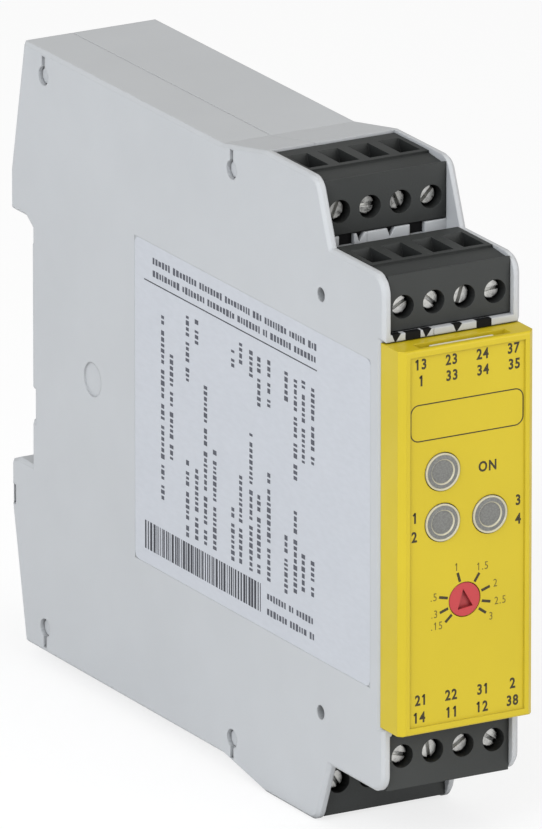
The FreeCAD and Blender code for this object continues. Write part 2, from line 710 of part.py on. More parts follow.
def build_cover():
    """Clipped front cover with a rimmed panel, lens and dial holes and a slot for a strip."""
    label = "front_cover"
    body = new_body(label)
    half = "(cover_width / 2)"
    tall = "(cover_height / 2)"

    def front_feature(kind, name, depth, shapes, length, flip=False):
        sketch = new_sketch(body, "cover_%s_sketch" % name, "XZ_Plane", depth)
        for shape in shapes:
            if len(shape) == 3:
                add_ring(sketch, *shape)
            else:
                add_loop(sketch, shape)
        return add_feature(body, kind, "cover_" + name, sketch, length, flip)

    front_feature("Pad", "block", COVER_SEAT, [rectangle("0 - " + half, "0 - " + tall, half, tall)],
                  "cover_depth")
    face_y = -(size("plug_face") + size("stair_run") - size("plug_gap") + size("cover_depth"))

    def upright_front(box):
        return abs(box.YMin - face_y) < 1e-4 and box.YLength < 1e-6 and box.XLength < 1e-6

    dress(body, "Chamfer", "cover_bevels", upright_front, "Size", "cover_bevel")

    def level_front(box):
        return abs(box.YMin - face_y) < 1e-4 and box.YLength < 1e-6 and box.ZLength < 1e-6

    dress(body, "Fillet", "cover_edges", level_front, "Radius", "cover_edge_radius")
    inner = rectangle("cover_wall - " + half, "cover_wall - " + tall, half + " - cover_wall", tall + " - cover_wall")
    front_feature("Pocket", "hollow", COVER_SEAT, [inner], "cover_depth - cover_front", flip=True)
    rim_across = "(cover_width / 2 - cover_bevel - panel_rim)"
    rim_up = "(cover_height / 2 - cover_edge_radius - panel_rim)"
    panel = rectangle("0 - " + rim_across, "0 - " + rim_up, rim_across, rim_up)
    front_feature("Pocket", "panel", COVER_FACE, [panel], "panel_recess")
    holes = [(across, up, "lens_diameter + 2 * lens_play") for across, up in LENS_PLACES]
    holes.append(("0 - dial_left", "0 - dial_drop", "dial_diameter + 2 * dial_play"))
    front_feature("Pocket", "holes", COVER_FACE, holes, "cover_front")
    slot = new_sketch(body, "cover_slot_sketch", "XY_Plane", tall)
    front = "(%s - cover_front - strip_slot_depth + strip_slot_setback)" % COVER_FACE
    back = "(%s - cover_front + strip_slot_setback)" % COVER_FACE
    add_loop(slot, rectangle("0 - strip_slot_width / 2", "0 - " + back, "strip_slot_width / 2", "0 - " + front))
    add_feature(body, "Pocket", "cover_slot", slot, "cover_wall + 0.2")
    for sign, side in ((1, "upper"), (-1, "lower")):
        sketch = new_sketch(body, "cover_%s_hook_sketch" % side, "YZ_Plane", "0")
        outer = "%d * (cover_height / 2 - cover_wall)" % sign
        deep = "%d * (cover_height / 2 - cover_wall - hook_thickness)" % sign
        barb = "%d * (cover_height / 2 - cover_wall - hook_thickness - hook_barb)" % sign
        tip = "(%s - hook_reach)" % COVER_SEAT
        catch = "(%s - front_wall - 0.1)" % COVER_SEAT
        root = "(%s - cover_front - strip_slot_depth + strip_slot_setback / 2)" % COVER_FACE
        joint = "%d * (cover_height / 2 - cover_wall / 2)" % sign
        hook = [(root, joint), (COVER_SEAT, joint), (COVER_SEAT, outer), (tip, outer), (tip, deep),
                (catch, barb), (catch, deep), (root, deep)]
        add_loop(sketch, side_loop(hook))
        add_feature(body, "Pad", "cover_%s_hook" % side, sketch, "hook_width", middle=True)
    return body


def build_plug(label, face, floor, flipped):
    """A four-pole plug-in terminal block, modelled upright about its front lower edge."""
    body = new_body(label)
    half_run = "((%d - 1) * pitch / 2)" % POLES

    def slab(kind, name, outline, width, offset="0"):
        sketch = new_sketch(body, "%s_%s_sketch" % (label, name), "YZ_Plane", offset)
        add_loop(sketch, side_loop(outline))
        return add_feature(body, kind, "%s_%s" % (label, name), sketch, width, middle=True)

    slab("Pad", "block", [
        ("0 - plug_depth", "0"),
        ("0", "0"),
        ("0", "plug_height - face_lip_drop"),
        ("0 - brow_setback", "plug_height - brow_drop"),
        ("0 - ridge_setback", "plug_height - ridge_step"),
        ("0 - ridge_setback", "plug_height"),
        ("0 - plug_depth", "plug_height"),
    ], "plug_width")
    slab("Pad", "nose", [
        ("0 - plug_depth - nose_length", "nose_floor"),
        ("0.5 - plug_depth", "nose_floor"),
        ("0.5 - plug_depth", "nose_floor + nose_height"),
        ("0 - plug_depth - nose_length", "nose_floor + nose_height"),
    ], "nose_width")
    first = "(0 - %s)" % half_run
    back = CHAMBER_BACK
    cuts = [
        slab("Pocket", "chamber", [
            (back, "chamber_floor"),
            (CHAMBER_FRONT, "chamber_floor"),
            (CHAMBER_FRONT, "chamber_top"),
            (back, "chamber_top"),
        ], "chamber_width", first),
        slab("Pocket", "contact_way", [
            ("0 - plug_depth - nose_length - 1", SOCKET_LOW + " - contact_play"),
            (RISER_BACK + " - contact_play", SOCKET_LOW + " - contact_play"),
            (RISER_BACK + " - contact_play", "chamber_floor"),
            (back + " + 0.5", "chamber_floor"),
            (back + " + 0.5", SOCKET_HIGH + " + contact_play"),
            ("0 - plug_depth - nose_length - 1", SOCKET_HIGH + " + contact_play"),
        ], "bar_width + 2 * contact_play", first),
    ]
    sketch = new_sketch(body, label + "_head_hole_sketch", "XZ_Plane", "0")
    add_ring(sketch, first, "screw_height", "screw_hole")
    cuts.append(add_feature(body, "Pocket", label + "_head_hole", sketch, "screw_recess + head_length + head_play"))
    sketch = new_sketch(body, label + "_shank_hole_sketch", "XZ_Plane", "0")
    add_loop(sketch, polygon(first, "screw_height", "screw_shank + 2 * shank_play", 6))
    cuts.append(add_feature(body, "Pocket", label + "_shank_hole", sketch,
                            "screw_recess + head_length + head_play + shoulder + 0.5"))
    cuts.append(slab("Pocket", "funnel", [
        ("0 - funnel_setback - funnel_length", "plug_height + 0.1"),
        ("0 - funnel_setback - funnel_length + funnel_slope", "chamber_top - 0.1"),
        ("0 - funnel_setback - funnel_slope", "chamber_top - 0.1"),
        ("0 - funnel_setback", "plug_height + 0.1"),
    ], "funnel_width", first))
    doc.recompute()
    poles = body.newObject("PartDesign::LinearPattern", label + "_poles")
    poles.Originals = cuts
    poles.Direction = (axis_line(body, "X_Axis"), [""])
    bind(poles, "Length", "%d * pitch" % (POLES - 1))
    poles.Occurrences = POLES
    body.Tip = poles
    place(body, "0", face, floor, flipped)
    return body


def axis_line(body, role):
    """Find one of a body's own origin axes."""
    return [feature for feature in body.Origin.OriginFeatures if feature.Role == role][0]


def place(item, across, depth, height, flipped=False):
    """Set a piece down at formulas of the sheet, turned upside down for the lower blocks."""
    if flipped:
        item.Placement.Rotation = FreeCAD.Rotation(FreeCAD.Vector(0, 1, 0), 180)
    bind(item, "Placement.Base.x", across)
    bind(item, "Placement.Base.y", "-1 * (%s)" % depth)
    bind(item, "Placement.Base.z", "%d * (%s)" % (-1 if flipped else 1, height))


# Depths and heights inside a terminal block, from its front lower edge.
CHAMBER_FRONT = "(0 - screw_recess - head_length - head_play - shoulder)"
CHAMBER_BACK = "(0 - chamber_end)"
CAGE_BACK = "(%s + cage_setoff)" % CHAMBER_BACK
BAR_FRONT = "(%s + cage_length - cage_front - bar_gap)" % CAGE_BACK
BAR_BACK = "(%s - bar_thickness)" % BAR_FRONT
RISER_FRONT = "(%s - riser_set)" % CHAMBER_BACK
RISER_BACK = "(%s - riser_set - foot_thickness)" % CHAMBER_BACK
SOCKET_MIDDLE = "(nose_floor + nose_height / 2)"
SOCKET_LOW = "(nose_floor + nose_height / 2 - socket_size / 2)"
SOCKET_HIGH = "(nose_floor + nose_height / 2 + socket_size / 2)"


def new_box(name, left, right, back, front, low, high):
    """A block between depths back and front, given by formulas of the sheet."""
    box = doc.addObject("Part::Box", name)
    bind(box, "Length", "(%s) - (%s)" % (right, left))
    bind(box, "Width", "(%s) - (%s)" % (front, back))
    bind(box, "Height", "(%s) - (%s)" % (high, low))
    bind(box, "Placement.Base.x", left)
    bind(box, "Placement.Base.y", "-1 * (%s)" % front)
    bind(box, "Placement.Base.z", low)
    return box


def new_rod(name, across, up, back, front, diameter):
    """A round bar along the depth, between two depths."""
    rod = doc.addObject("Part::Cylinder", name)
    bind(rod, "Radius", "(%s) / 2" % diameter)
    bind(rod, "Height", "(%s) - (%s)" % (front, back))
    rod.Placement.Rotation = FreeCAD.Rotation(FreeCAD.Vector(1, 0, 0), 90)
    bind(rod, "Placement.Base.x", across)
    bind(rod, "Placement.Base.y", "-1 * (%s)" % back)
    bind(rod, "Placement.Base.z", up)
    return rod


def new_prism(name, across, up, back, front, flats, sides):
    """A many-sided bar along the depth, between two depths, given the distance across its flats."""
    bar = doc.addObject("Part::Prism", name)
    bar.Polygon = sides
    bind(bar, "Circumradius", "(%s) * %.6f" % (flats, 0.5 / math.cos(math.pi / sides)))
    bind(bar, "Height", "(%s) - (%s)" % (front, back))
    bar.Placement.Rotation = FreeCAD.Rotation(FreeCAD.Vector(1, 0, 0), 90)
    bind(bar, "Placement.Base.x", across)
    bind(bar, "Placement.Base.y", "-1 * (%s)" % back)
    bind(bar, "Placement.Base.z", up)
    return bar


def fuse(name, pieces):
    """Join overlapping blocks into one solid."""
    joined = doc.addObject("Part::MultiFuse", name)
    joined.Shapes = pieces
    joined.Refine = True
    return joined


def cut(name, base, tool):
    """Take one shape out of another."""
    result = doc.addObject("Part::Cut", name)
    result.Base = base
    result.Tool = tool
    result.Refine = True
    return result


def pole_place(pole):
    """How far a pole's middle lies across from the block's middle."""
    return "(%s * pitch)" % (pole - (POLES - 1) / 2)


def build_contacts(label, face, floor, flipped):
    """The four fixed contacts of a block: clamp bar, foot under the cage and pin socket."""
    group = []
    for pole in range(POLES):
        middle = pole_place(pole)
        left = "(%s - bar_width / 2)" % middle
        right = "(%s + bar_width / 2)" % middle
        base_low = "(chamber_floor + 0.02)"
        base_high = "(chamber_floor + 0.02 + foot_thickness)"
        name = "%s_%d" % (label, pole + 1)
        socket_left = "(%s - socket_size / 2)" % middle
        socket_right = "(%s + socket_size / 2)" % middle
        bore_left = "(%s - socket_bore / 2)" % middle
        bore_right = "(%s + socket_bore / 2)" % middle
        socket_back = "(%s - socket_length)" % RISER_FRONT
        strip = fuse(name + "_strip", [
            new_box(name + "_bar", left, right, BAR_BACK, BAR_FRONT, base_low, "chamber_top - contact_play"),
            new_box(name + "_foot", left, right, RISER_BACK, BAR_FRONT, base_low, base_high),
            new_box(name + "_riser", left, right, RISER_BACK, RISER_FRONT, base_low, SOCKET_HIGH),
            new_box(name + "_socket", socket_left, socket_right, socket_back, RISER_FRONT,
                    SOCKET_LOW, SOCKET_HIGH),
        ])
        bore = new_box(name + "_bore", bore_left, bore_right, socket_back + " - 1", RISER_BACK,
                       SOCKET_MIDDLE + " - socket_bore / 2", SOCKET_MIDDLE + " + socket_bore / 2")
        group.append(cut(name + "_contact", strip, bore))
    contacts = doc.addObject("Part::Compound", label)
    contacts.Label = label
    contacts.Links = group
    place(contacts, "0", face, floor, flipped)
    return contacts


def build_screw(label, face, floor, across, flipped, turn):
    """A captive terminal screw: slotted head and plain shank, turned to its own slot angle."""
    name = label
    head_front = "(0 - screw_recess)"
    head_back = "(0 - screw_recess - head_length)"
    tip = "(%s + 0.1)" % BAR_FRONT
    solid = fuse(name + "_solid", [
        new_prism(name + "_head", "0", "0", head_back, head_front, "screw_head * 0.966", 12),
        new_prism(name + "_shank", "0", "0", tip, head_back + " + 0.2", "screw_shank * 0.866", 6),
    ])
    slot = new_box(name + "_slot", "0 - slot_width / 2", "slot_width / 2", head_front + " - slot_depth",
                   head_front + " + 1", "0 - screw_head", "screw_head")
    screw = cut(label, solid, slot)
    screw.Label = label
    screw.Placement.Rotation = FreeCAD.Rotation(FreeCAD.Vector(0, 1, 0), turn)
    sign = -1 if flipped else 1
    bind(screw, "Placement.Base.x", across)
    bind(screw, "Placement.Base.y", "-1 * (%s)" % face)
    bind(screw, "Placement.Base.z", "%d * (%s + screw_height)" % (sign, floor))
    return screw


def build_cage(label, face, floor, across, flipped):
    """A rising clamp cage: a square ring round the contact bar, threaded on the screw."""
    low = "(screw_height - cage_height / 2)"
    high = "(screw_height + cage_height / 2)"
    back = CAGE_BACK
    front = "(%s + cage_length)" % CAGE_BACK
    block = new_box(label + "_block", "0 - cage_width / 2", "cage_width / 2", back, front, low, high)
    window = new_box(label + "_window", "cage_wall - cage_width / 2", "cage_width / 2 - cage_wall",
                     back + " + cage_back", front + " - cage_front", low + " - 1", high + " + 1")
    thread = new_prism(label + "_thread", "0", "screw_height", front + " - cage_front - 0.5", front + " + 0.5",
                       "screw_shank + 2 * shank_play", 6)
    cage = cut(label, block, fuse(label + "_openings", [window, thread]))
    cage.Label = label
    place(cage, across, face, floor, flipped)
    return cage


def build_header(label, face, floor, flipped):
    """A pin header: shroud round the block's nose, four square pins and legs bent to the main board."""
    back = "(0 - plug_depth - nose_length - contact_play * 3 - header_base)"
    base_front = "(0 - plug_depth - nose_length - contact_play * 3)"
    front = "(0 - plug_depth - header_shy)"
    outer_half = "(nose_width / 2 + header_play + header_wall)"
    inner_half = "(nose_width / 2 + header_play)"
    low = "(nose_floor - header_play - header_wall)"
    high = "(nose_floor + nose_height + header_play + header_wall)"
    shroud = new_box(label + "_shroud", "0 - " + outer_half, outer_half, back, front, low, high)
    hollow = new_box(label + "_hollow", "0 - " + inner_half, inner_half, base_front, front + " + 1",
                     "nose_floor - header_play", "nose_floor + nose_height + header_play")
    metal = []
    for pole in range(POLES):
        middle = pole_place(POLES - 1 - pole if flipped else pole)
        name = "%s_%d" % (label, pole + 1)
        half = "pin_size / 2"
        metal.append(new_box(name + "_pin", "%s - %s" % (middle, half), "%s + %s" % (middle, half),
                             back + " + 0.5", "(0 - plug_depth - nose_length + pin_stop)",
                             SOCKET_MIDDLE + " - pin_size / 2", SOCKET_MIDDLE + " + pin_size / 2"))
        foot = "(0 - leg_drop - %d * leg_step)" % pole
        leg_back = back + " + 0.3"
        leg_front = back + " + 0.3 + leg_thickness"
        metal.append(new_box(name + "_leg", "%s - leg_thickness / 2" % middle, "%s + leg_thickness / 2" % middle,
                             leg_back, leg_front, foot, low + " + 0.3"))
        reach = "(0 - (%s))" % BOARD_FACE if flipped else BOARD_FACE
        edge = "%s %s leg_thickness / 2" % (middle, "+" if flipped else "-")
        inner, outer = (edge + " - 0.2", reach) if flipped else (reach, edge + " + 0.2")
        metal.append(new_box(name + "_tail", inner, outer, leg_back, leg_front,
                             foot, foot + " + leg_thickness"))
    body = cut(label + "_moulding", shroud, hollow)
    header = fuse(label, [body] + metal)
    header.Label = label
    place(header, "0", face, floor, flipped)
    return header


def build_light_guide():
    """Three round lenses on square light pipes, moulded with one web that rests behind the front wall."""
    wall_back = "(%s - front_wall)" % COVER_SEAT
    panel = "(%s - panel_recess)" % COVER_FACE
    pieces = []
    for number, (across, up) in enumerate(LENS_PLACES, start=1):
        name = "light_guide_%d" % number
        pieces.append(new_box(name + "_pipe", across + " - pipe_size / 2", across + " + pipe_size / 2",
                              FRONT_BOARD_FACE + " + led_height + 0.1", panel + " - 0.3",
                              up + " - pipe_size / 2", up + " + pipe_size / 2"))
        pieces.append(new_rod(name + "_lens", across, up, panel + " - cover_front + panel_recess",
                              panel + " + lens_proud", "lens_diameter"))
    left = "0 - lens_left - web_height / 2"
    pieces.append(new_box("light_guide_riser", left, "web_height / 2 - lens_left",
                          wall_back + " - web_thickness", wall_back,
                          "lens_low - web_height / 2", "lens_top + web_height / 2"))
    pieces.append(new_box("light_guide_web", left, "lens_right + web_height / 2", wall_back + " - web_thickness",
                          wall_back, "lens_low - web_height / 2", "lens_low + web_height / 2"))
    guide = fuse("light_guide", pieces)
    guide.Label = "light_guide"
    return guide


def build_dial():
    """The setting dial: a disc with an arrow sunk in it, on a plain shaft."""
    label = "dial_knob"
    body = new_body(label)
    face = "(%s - panel_recess - dial_sink)" % COVER_FACE
    disc = new_sketch(body, "dial_disc_sketch", "XZ_Plane", face)
    add_ring(disc, "0", "0", "dial_diameter")
    add_feature(body, "Pad", "dial_disc", disc, "dial_thickness", flip=True)
    shaft = new_sketch(body, "dial_shaft_sketch", "XZ_Plane", face + " - dial_thickness")
    add_ring(shaft, "0", "0", "dial_shaft")
    shaft_end = "(%s + pot_size * 0.1)" % FRONT_BOARD_FACE
    add_feature(body, "Pad", "dial_shaft_rod", shaft, "%s - dial_thickness - %s" % (face, shaft_end), flip=True)
    arrow = new_sketch(body, "dial_arrow_sketch", "XZ_Plane", face)
    add_loop(arrow, [("0 - arrow_half_base", "0 - arrow_tail"), ("arrow_half_base", "0 - arrow_tail"),
                     ("0", "arrow_reach")])
    add_feature(body, "Pocket", "dial_arrow", arrow, "arrow_depth")
    body.Placement.Rotation = FreeCAD.Rotation(FreeCAD.Vector(0, 1, 0), -7)
    bind(body, "Placement.Base.x", "0 - dial_left")
    bind(body, "Placement.Base.z", "0 - dial_drop")
    return body


def build_potentiometer():
    """The dial's potentiometer: a square case on the front board with a bush through the front wall."""
    across = "(0 - dial_left)"
    up = "(0 - dial_drop)"
    top = "(%s + pot_height)" % FRONT_BOARD_FACE
    case = new_box("potentiometer_case", across + " - pot_size / 2", across + " + pot_size / 2",
                   FRONT_BOARD_FACE, top, up + " - pot_size / 2", up + " + pot_size / 2")
    bush = new_prism("potentiometer_bush", across, up, top + " - 0.5", top + " + pot_bush_length",
                     "pot_bush * 0.966", 12)
    bore = new_rod("potentiometer_bore", across, up, FRONT_BOARD_FACE + " + pot_size * 0.1 - 0.2",
                   top + " + pot_bush_length + 1", "dial_shaft + 2 * shaft_play")
    pot = cut("potentiometer", fuse("potentiometer_solid", [case, bush]), bore)
    pot.Label = "potentiometer"
    return pot


def build_boards():
    """The main board along the near side wall, and the front board across its tongue."""
    body = new_body("main_board")
    sketch = new_sketch(body, "main_board_sketch", "YZ_Plane", BOARD_NEAR)
    tongue = "(plug_floor - stair_drop - plug_gap - outer_wall - board_seat_gap)"
    shoulder = "(plug_floor - plug_gap - outer_wall - board_seat_gap)"
    nose_end = "(%s - plug_depth - nose_length - contact_play * 3 - header_base - board_seat_gap)" % NOSE_FACE
    tip = "(%s - board_thickness)" % FRONT_BOARD_FACE
    notch = "(key_rear_depth + post_diameter)"
    notch_height = "(key_rear_height - post_diameter)"
    front_notch = "(key_front_depth - post_diameter)"
    upper = [
        ("board_back", notch_height),
        (notch, notch_height),
        (notch, "board_height / 2"),
        (front_notch, "board_height / 2"),
        (front_notch, shoulder),
        (nose_end, shoulder),
        (nose_end, tongue),
        (tip, tongue),
        (tip, "0"),
    ]
    lower = mirrored(upper[:-1])
    lower.reverse()
    add_loop(sketch, side_loop(upper + lower))
    add_feature(body, "Pad", "main_board_sheet", sketch, "board_thickness")
    front = new_box("front_board", BOARD_NEAR, BOARD_NEAR + " + front_board_width",
                    FRONT_BOARD_FACE + " - board_thickness", FRONT_BOARD_FACE,
                    "0 - front_board_height / 2", "front_board_height / 2")
    front.Label = "front_board"
    lamps = []
    for number, (across, up) in enumerate(LENS_PLACES, start=1):
        lamps.append(new_box("lamp_%d" % number, across + " - led_size / 2", across + " + led_size / 2",
                             FRONT_BOARD_FACE, FRONT_BOARD_FACE + " + led_height",
                             up + " - led_size / 2", up + " + led_size / 2"))
    group = doc.addObject("Part::Compound", "status_lamps")
    group.Label = "status_lamps"
    group.Links = lamps
    return [body, front, group]


def build_relay(label, low):
    """A sealed switching relay: a plinth on the main board under a rounded case."""
    back = "(relay_front - relay_depth)"
    high = "(%s + relay_length)" % low
    plinth = new_box(label + "_plinth", BOARD_FACE, BOARD_FACE + " + relay_base", back, "relay_front", low, high)
    case = new_box(label + "_case", BOARD_FACE + " + relay_base", BOARD_FACE + " + relay_height",
                   back + " + 0.3", "relay_front - 0.3", low + " + 0.3", high + " - 0.3")
    doc.recompute()
    rounded = doc.addObject("Part::Chamfer", label + "_bevels")
    rounded.Base = case
    top = case.Shape.BoundBox.XMax
    rim = []
    for number, edge in enumerate(case.Shape.Edges, start=1):
        if abs(edge.BoundBox.XMin - top) < 1e-4:
            rim.append((number, size("relay_radius"), size("relay_radius")))
    rounded.Edges = rim
    relay = fuse(label, [plinth, rounded])
    relay.Label = label
    return relay


def build_capacitor():
    """A round electrolytic capacitor that stands on the main board."""
    can = doc.addObject("Part::Cylinder", "capacitor_can")
    bind(can, "Radius", "capacitor_diameter / 2")
    bind(can, "Height", "capacitor_length")
    can.Placement.Rotation = FreeCAD.Rotation(FreeCAD.Vector(0, 1, 0), 90)
    bind(can, "Placement.Base.x", BOARD_FACE)
    bind(can, "Placement.Base.y", "0 - capacitor_depth")
    bind(can, "Placement.Base.z", "capacitor_height")
    can.Label = "capacitor"
    return can


def build_latch():
    """The foot latch: a sprung slide with a bevelled tip behind the rail and a pull slot at its end."""
    body = new_body("rail_latch")
    front = "(%s - latch_play)" % CHANNEL_FRONT
    back = "(%s + latch_play)" % CHANNEL_BACK
    outline = [
        (front, "0 - latch_tip"),
        (front, "0 - latch_end"),
        (back + " + 1.2", "0 - latch_end"),
        (back, "9 - latch_end"),
        (back, "0 - latch_tip - latch_tip_bevel"),
        (back + " + latch_tip_bevel", "0 - latch_tip"),
    ]
    sketch = new_sketch(body, "latch_block_sketch", "YZ_Plane", "0")
    add_loop(sketch, side_loop(outline))
    add_feature(body, "Pad", "latch_block", sketch, "latch_width", middle=True)
    window = new_sketch(body, "latch_window_sketch", "XZ_Plane", front + " + 1")
    foot = "0 - stop_top - stop_height - stop_play"
    add_loop(window, rectangle("0 - window_width / 2", foot, "window_width / 2", "0 - window_top"))
    slot_low = "latch_slot_rise - latch_end"
    add_loop(window, rectangle("0 - latch_slot_width / 2", slot_low, "latch_slot_width / 2",
                               slot_low + " + latch_slot_height"))
    add_feature(body, "Pocket", "latch_window", window, "latch_thickness + 2")
    return body


def build_latch_spring():
    """A coil spring in the latch's window, from the housing's stop up to the window's top.

    The wire is a six-sided bar swept along nine straight steps for each turn.
    """
    wire = size("spring_wire")
    radius = (size("spring_diameter") - wire) / 2
    rear_top = size("plug_floor") + size("plug_height") + size("crown_proud") - size("crown_rise")
    low = size("stop_rise") - rear_top + wire / 2 + size("spring_seat_gap")
    rise = size("spring_room") - wire - 2 * size("spring_seat_gap")
    steps = round(9 * rise / size("spring_pitch"))
    points = []
    for number in range(steps + 1):
        angle = 2 * math.pi * rise / size("spring_pitch") * number / steps
        points.append(FreeCAD.Vector(radius * math.cos(angle), radius * math.sin(angle), rise * number / steps))
    coil = Part.makePolygon(points)
    ahead = (points[1] - points[0]).normalize()
    outward = FreeCAD.Vector(1, 0, 0)
    upward = ahead.cross(outward).normalize()
    outward = upward.cross(ahead)
    ring = []
    for number in range(7):
        angle = math.pi * number / 3
        ring.append(points[0] + outward * (wire / 2 * math.cos(angle)) + upward * (wire / 2 * math.sin(angle)))
    solid = coil.makePipeShell([Part.makePolygon(ring)], True, False, 1)
    spring = doc.addObject("Part::Feature", "latch_spring")
    spring.Label = "latch_spring"
    spring.Shape = solid
    middle = size("latch_front_wall") + size("latch_play") + size("latch_thickness") / 2
    spring.Placement = FreeCAD.Placement(FreeCAD.Vector(0, middle, low), FreeCAD.Rotation())
    return spring


def build_strip():
    """The marker strip that stands behind the cover's panel, its end in the top slot."""
    behind = "(%s - cover_front - strip_gap)" % COVER_FACE
    top = "(cover_height / 2 - strip_sink)"
    strip = new_box("marker_strip", "0 - strip_width / 2", "strip_width / 2", behind + " - strip_thickness",
                    behind, top + " - strip_length", top)
    strip.Label = "marker_strip"
    return strip


def build_label():
    """The rating label, a thin sticker in a recess of the near side wall."""
    body = new_body("rating_label")
    sketch = new_sketch(body, "label_sketch", "YZ_Plane", "label_sink + label_thickness - body_width / 2")
    add_loop(sketch, label_place("0"))
    add_feature(body, "Pad", "label_sheet", sketch, "label_thickness", flip=True)

    def corner(box):
        return box.YLength < 1e-6 and box.ZLength < 1e-6

    dress(body, "Fillet", "label_corners", corner, "Radius", "label_radius")
    return body


BLOCKS = [
    ("upper_rear", "plug_face", "plug_floor", False),
    ("upper_front", NOSE_FACE, "(plug_floor - stair_drop)", False),
    ("lower_front", NOSE_FACE, "(plug_floor - stair_drop)", True),
    ("lower_rear", "plug_face", "plug_floor", True),
]


def build_blocks():
    """All four terminal blocks with their contacts, screws, cages and headers."""
    pieces = []
    for number, (name, face, floor, flipped) in enumerate(BLOCKS):
        pieces.append(build_plug("plug_" + name, face, floor, flipped))
        pieces.append(build_contacts("contacts_" + name, face, floor, flipped))
        pieces.append(build_header("header_" + name, face, floor, flipped))
        for pole in range(POLES):
            turn = (23 + 67 * pole + 41 * number) % 180
            ending = "%s_%d" % (name, pole + 1)
            across = pole_place(pole)
            pieces.append(build_screw("screw_" + ending, face, floor, across, flipped, turn))
            pieces.append(build_cage("cage_" + ending, face, floor, across, flipped))
    return pieces


def build_all():
    """Every sub-part of the relay."""
    near_depth = "near_shell_depth"
    far_depth = "(body_width - near_shell_depth)"
    pieces = [build_shell("left_shell", -1, near_depth), build_shell("right_shell", 1, far_depth)]
    pieces += [build_cover(), build_strip(), build_label(), build_light_guide(), build_dial()]
    pieces += [build_potentiometer(), build_latch(), build_latch_spring(), build_capacitor()]
    pieces += build_boards()
    pieces.append(build_relay("relay_upper", "relay_split"))
    pieces.append(build_relay("relay_lower", "(0 - relay_split - relay_length)"))
    return pieces + build_blocks()


def check_and_write(pieces):
    """Refuse a failed object or a broken shape, then write one file for each sub-part."""
    doc.recompute()
    for item in doc.Objects:
        if "Invalid" in item.State or "Error" in item.State:
            raise RuntimeError("%s is %s" % (item.Name, item.State))
    os.makedirs("parts", exist_ok=True)
    for piece in pieces:
        shape = piece.Shape
        if shape.isNull() or not shape.isValid() or not shape.Solids:
            raise RuntimeError("%s has no sound solid" % piece.Label)
        print("%-24s solids %d volume %.2f" % (piece.Label, len(shape.Solids), shape.Volume))
    for piece in pieces:
        piece.Shape.exportStep(os.path.join("parts", piece.Label + ".step"))


check_and_write(build_all())
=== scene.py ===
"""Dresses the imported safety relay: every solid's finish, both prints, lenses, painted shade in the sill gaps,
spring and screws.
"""
import logging
import math
from dataclasses import dataclass
from enum import Enum
from typing import Callable, Sequence

import bpy
import numpy as np
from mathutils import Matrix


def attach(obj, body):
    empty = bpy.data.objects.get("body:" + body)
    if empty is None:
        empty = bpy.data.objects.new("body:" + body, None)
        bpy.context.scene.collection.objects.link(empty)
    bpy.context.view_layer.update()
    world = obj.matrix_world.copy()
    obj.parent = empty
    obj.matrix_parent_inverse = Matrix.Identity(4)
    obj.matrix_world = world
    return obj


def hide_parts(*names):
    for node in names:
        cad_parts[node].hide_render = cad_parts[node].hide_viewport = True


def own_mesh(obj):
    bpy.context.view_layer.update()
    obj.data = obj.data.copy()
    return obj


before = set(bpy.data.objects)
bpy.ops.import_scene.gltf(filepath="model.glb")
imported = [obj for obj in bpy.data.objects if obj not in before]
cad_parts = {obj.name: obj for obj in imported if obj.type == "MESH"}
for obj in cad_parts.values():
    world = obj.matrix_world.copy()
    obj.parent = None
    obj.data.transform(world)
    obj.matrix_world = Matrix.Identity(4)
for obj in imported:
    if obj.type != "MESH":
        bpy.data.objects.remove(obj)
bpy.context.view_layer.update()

LOG = logging.getLogger("safety_relay")
MM = 0.001
WHITE = (1.0, 1.0, 1.0)
Colour = Sequence[float]
Socket = bpy.types.NodeSocket
Material = bpy.types.Material
Rows = np.ndarray | Sequence[tuple[int, ...]]
Shape = tuple[np.ndarray, Rows]
Mark = tuple[str, float, float]


def from_screen(colour: Sequence[int]) -> np.ndarray:
    """Turns a colour as a screen shows it into the linear colour that a shader takes.

    Args:
        colour: Red, green and blue, from 0 to 255.

    Returns:
        The linear colour. Each part is c / 12.92 up to 0.04045 and ((c + 0.055) / 1.055) ** 2.4 above it.
    """
    parts = np.array(colour) / 255.0
    return np.where(parts <= 0.04045, parts / 12.92, ((parts + 0.055) / 1.055) ** 2.4)


class Grain(Enum):
    """How fine a moulded surface's texture is, as noise cells in one metre."""

    POLISHED = 900.0
    SATIN = 3200.0
    ERODED = 5200.0


class Level(Enum):
    """Which stair a terminal block stands on: the depth of its face and the height of its floor."""

    REAR = (84.1 * MM, 39.3 * MM)
    FRONT = (102.3 * MM, 30.15 * MM)


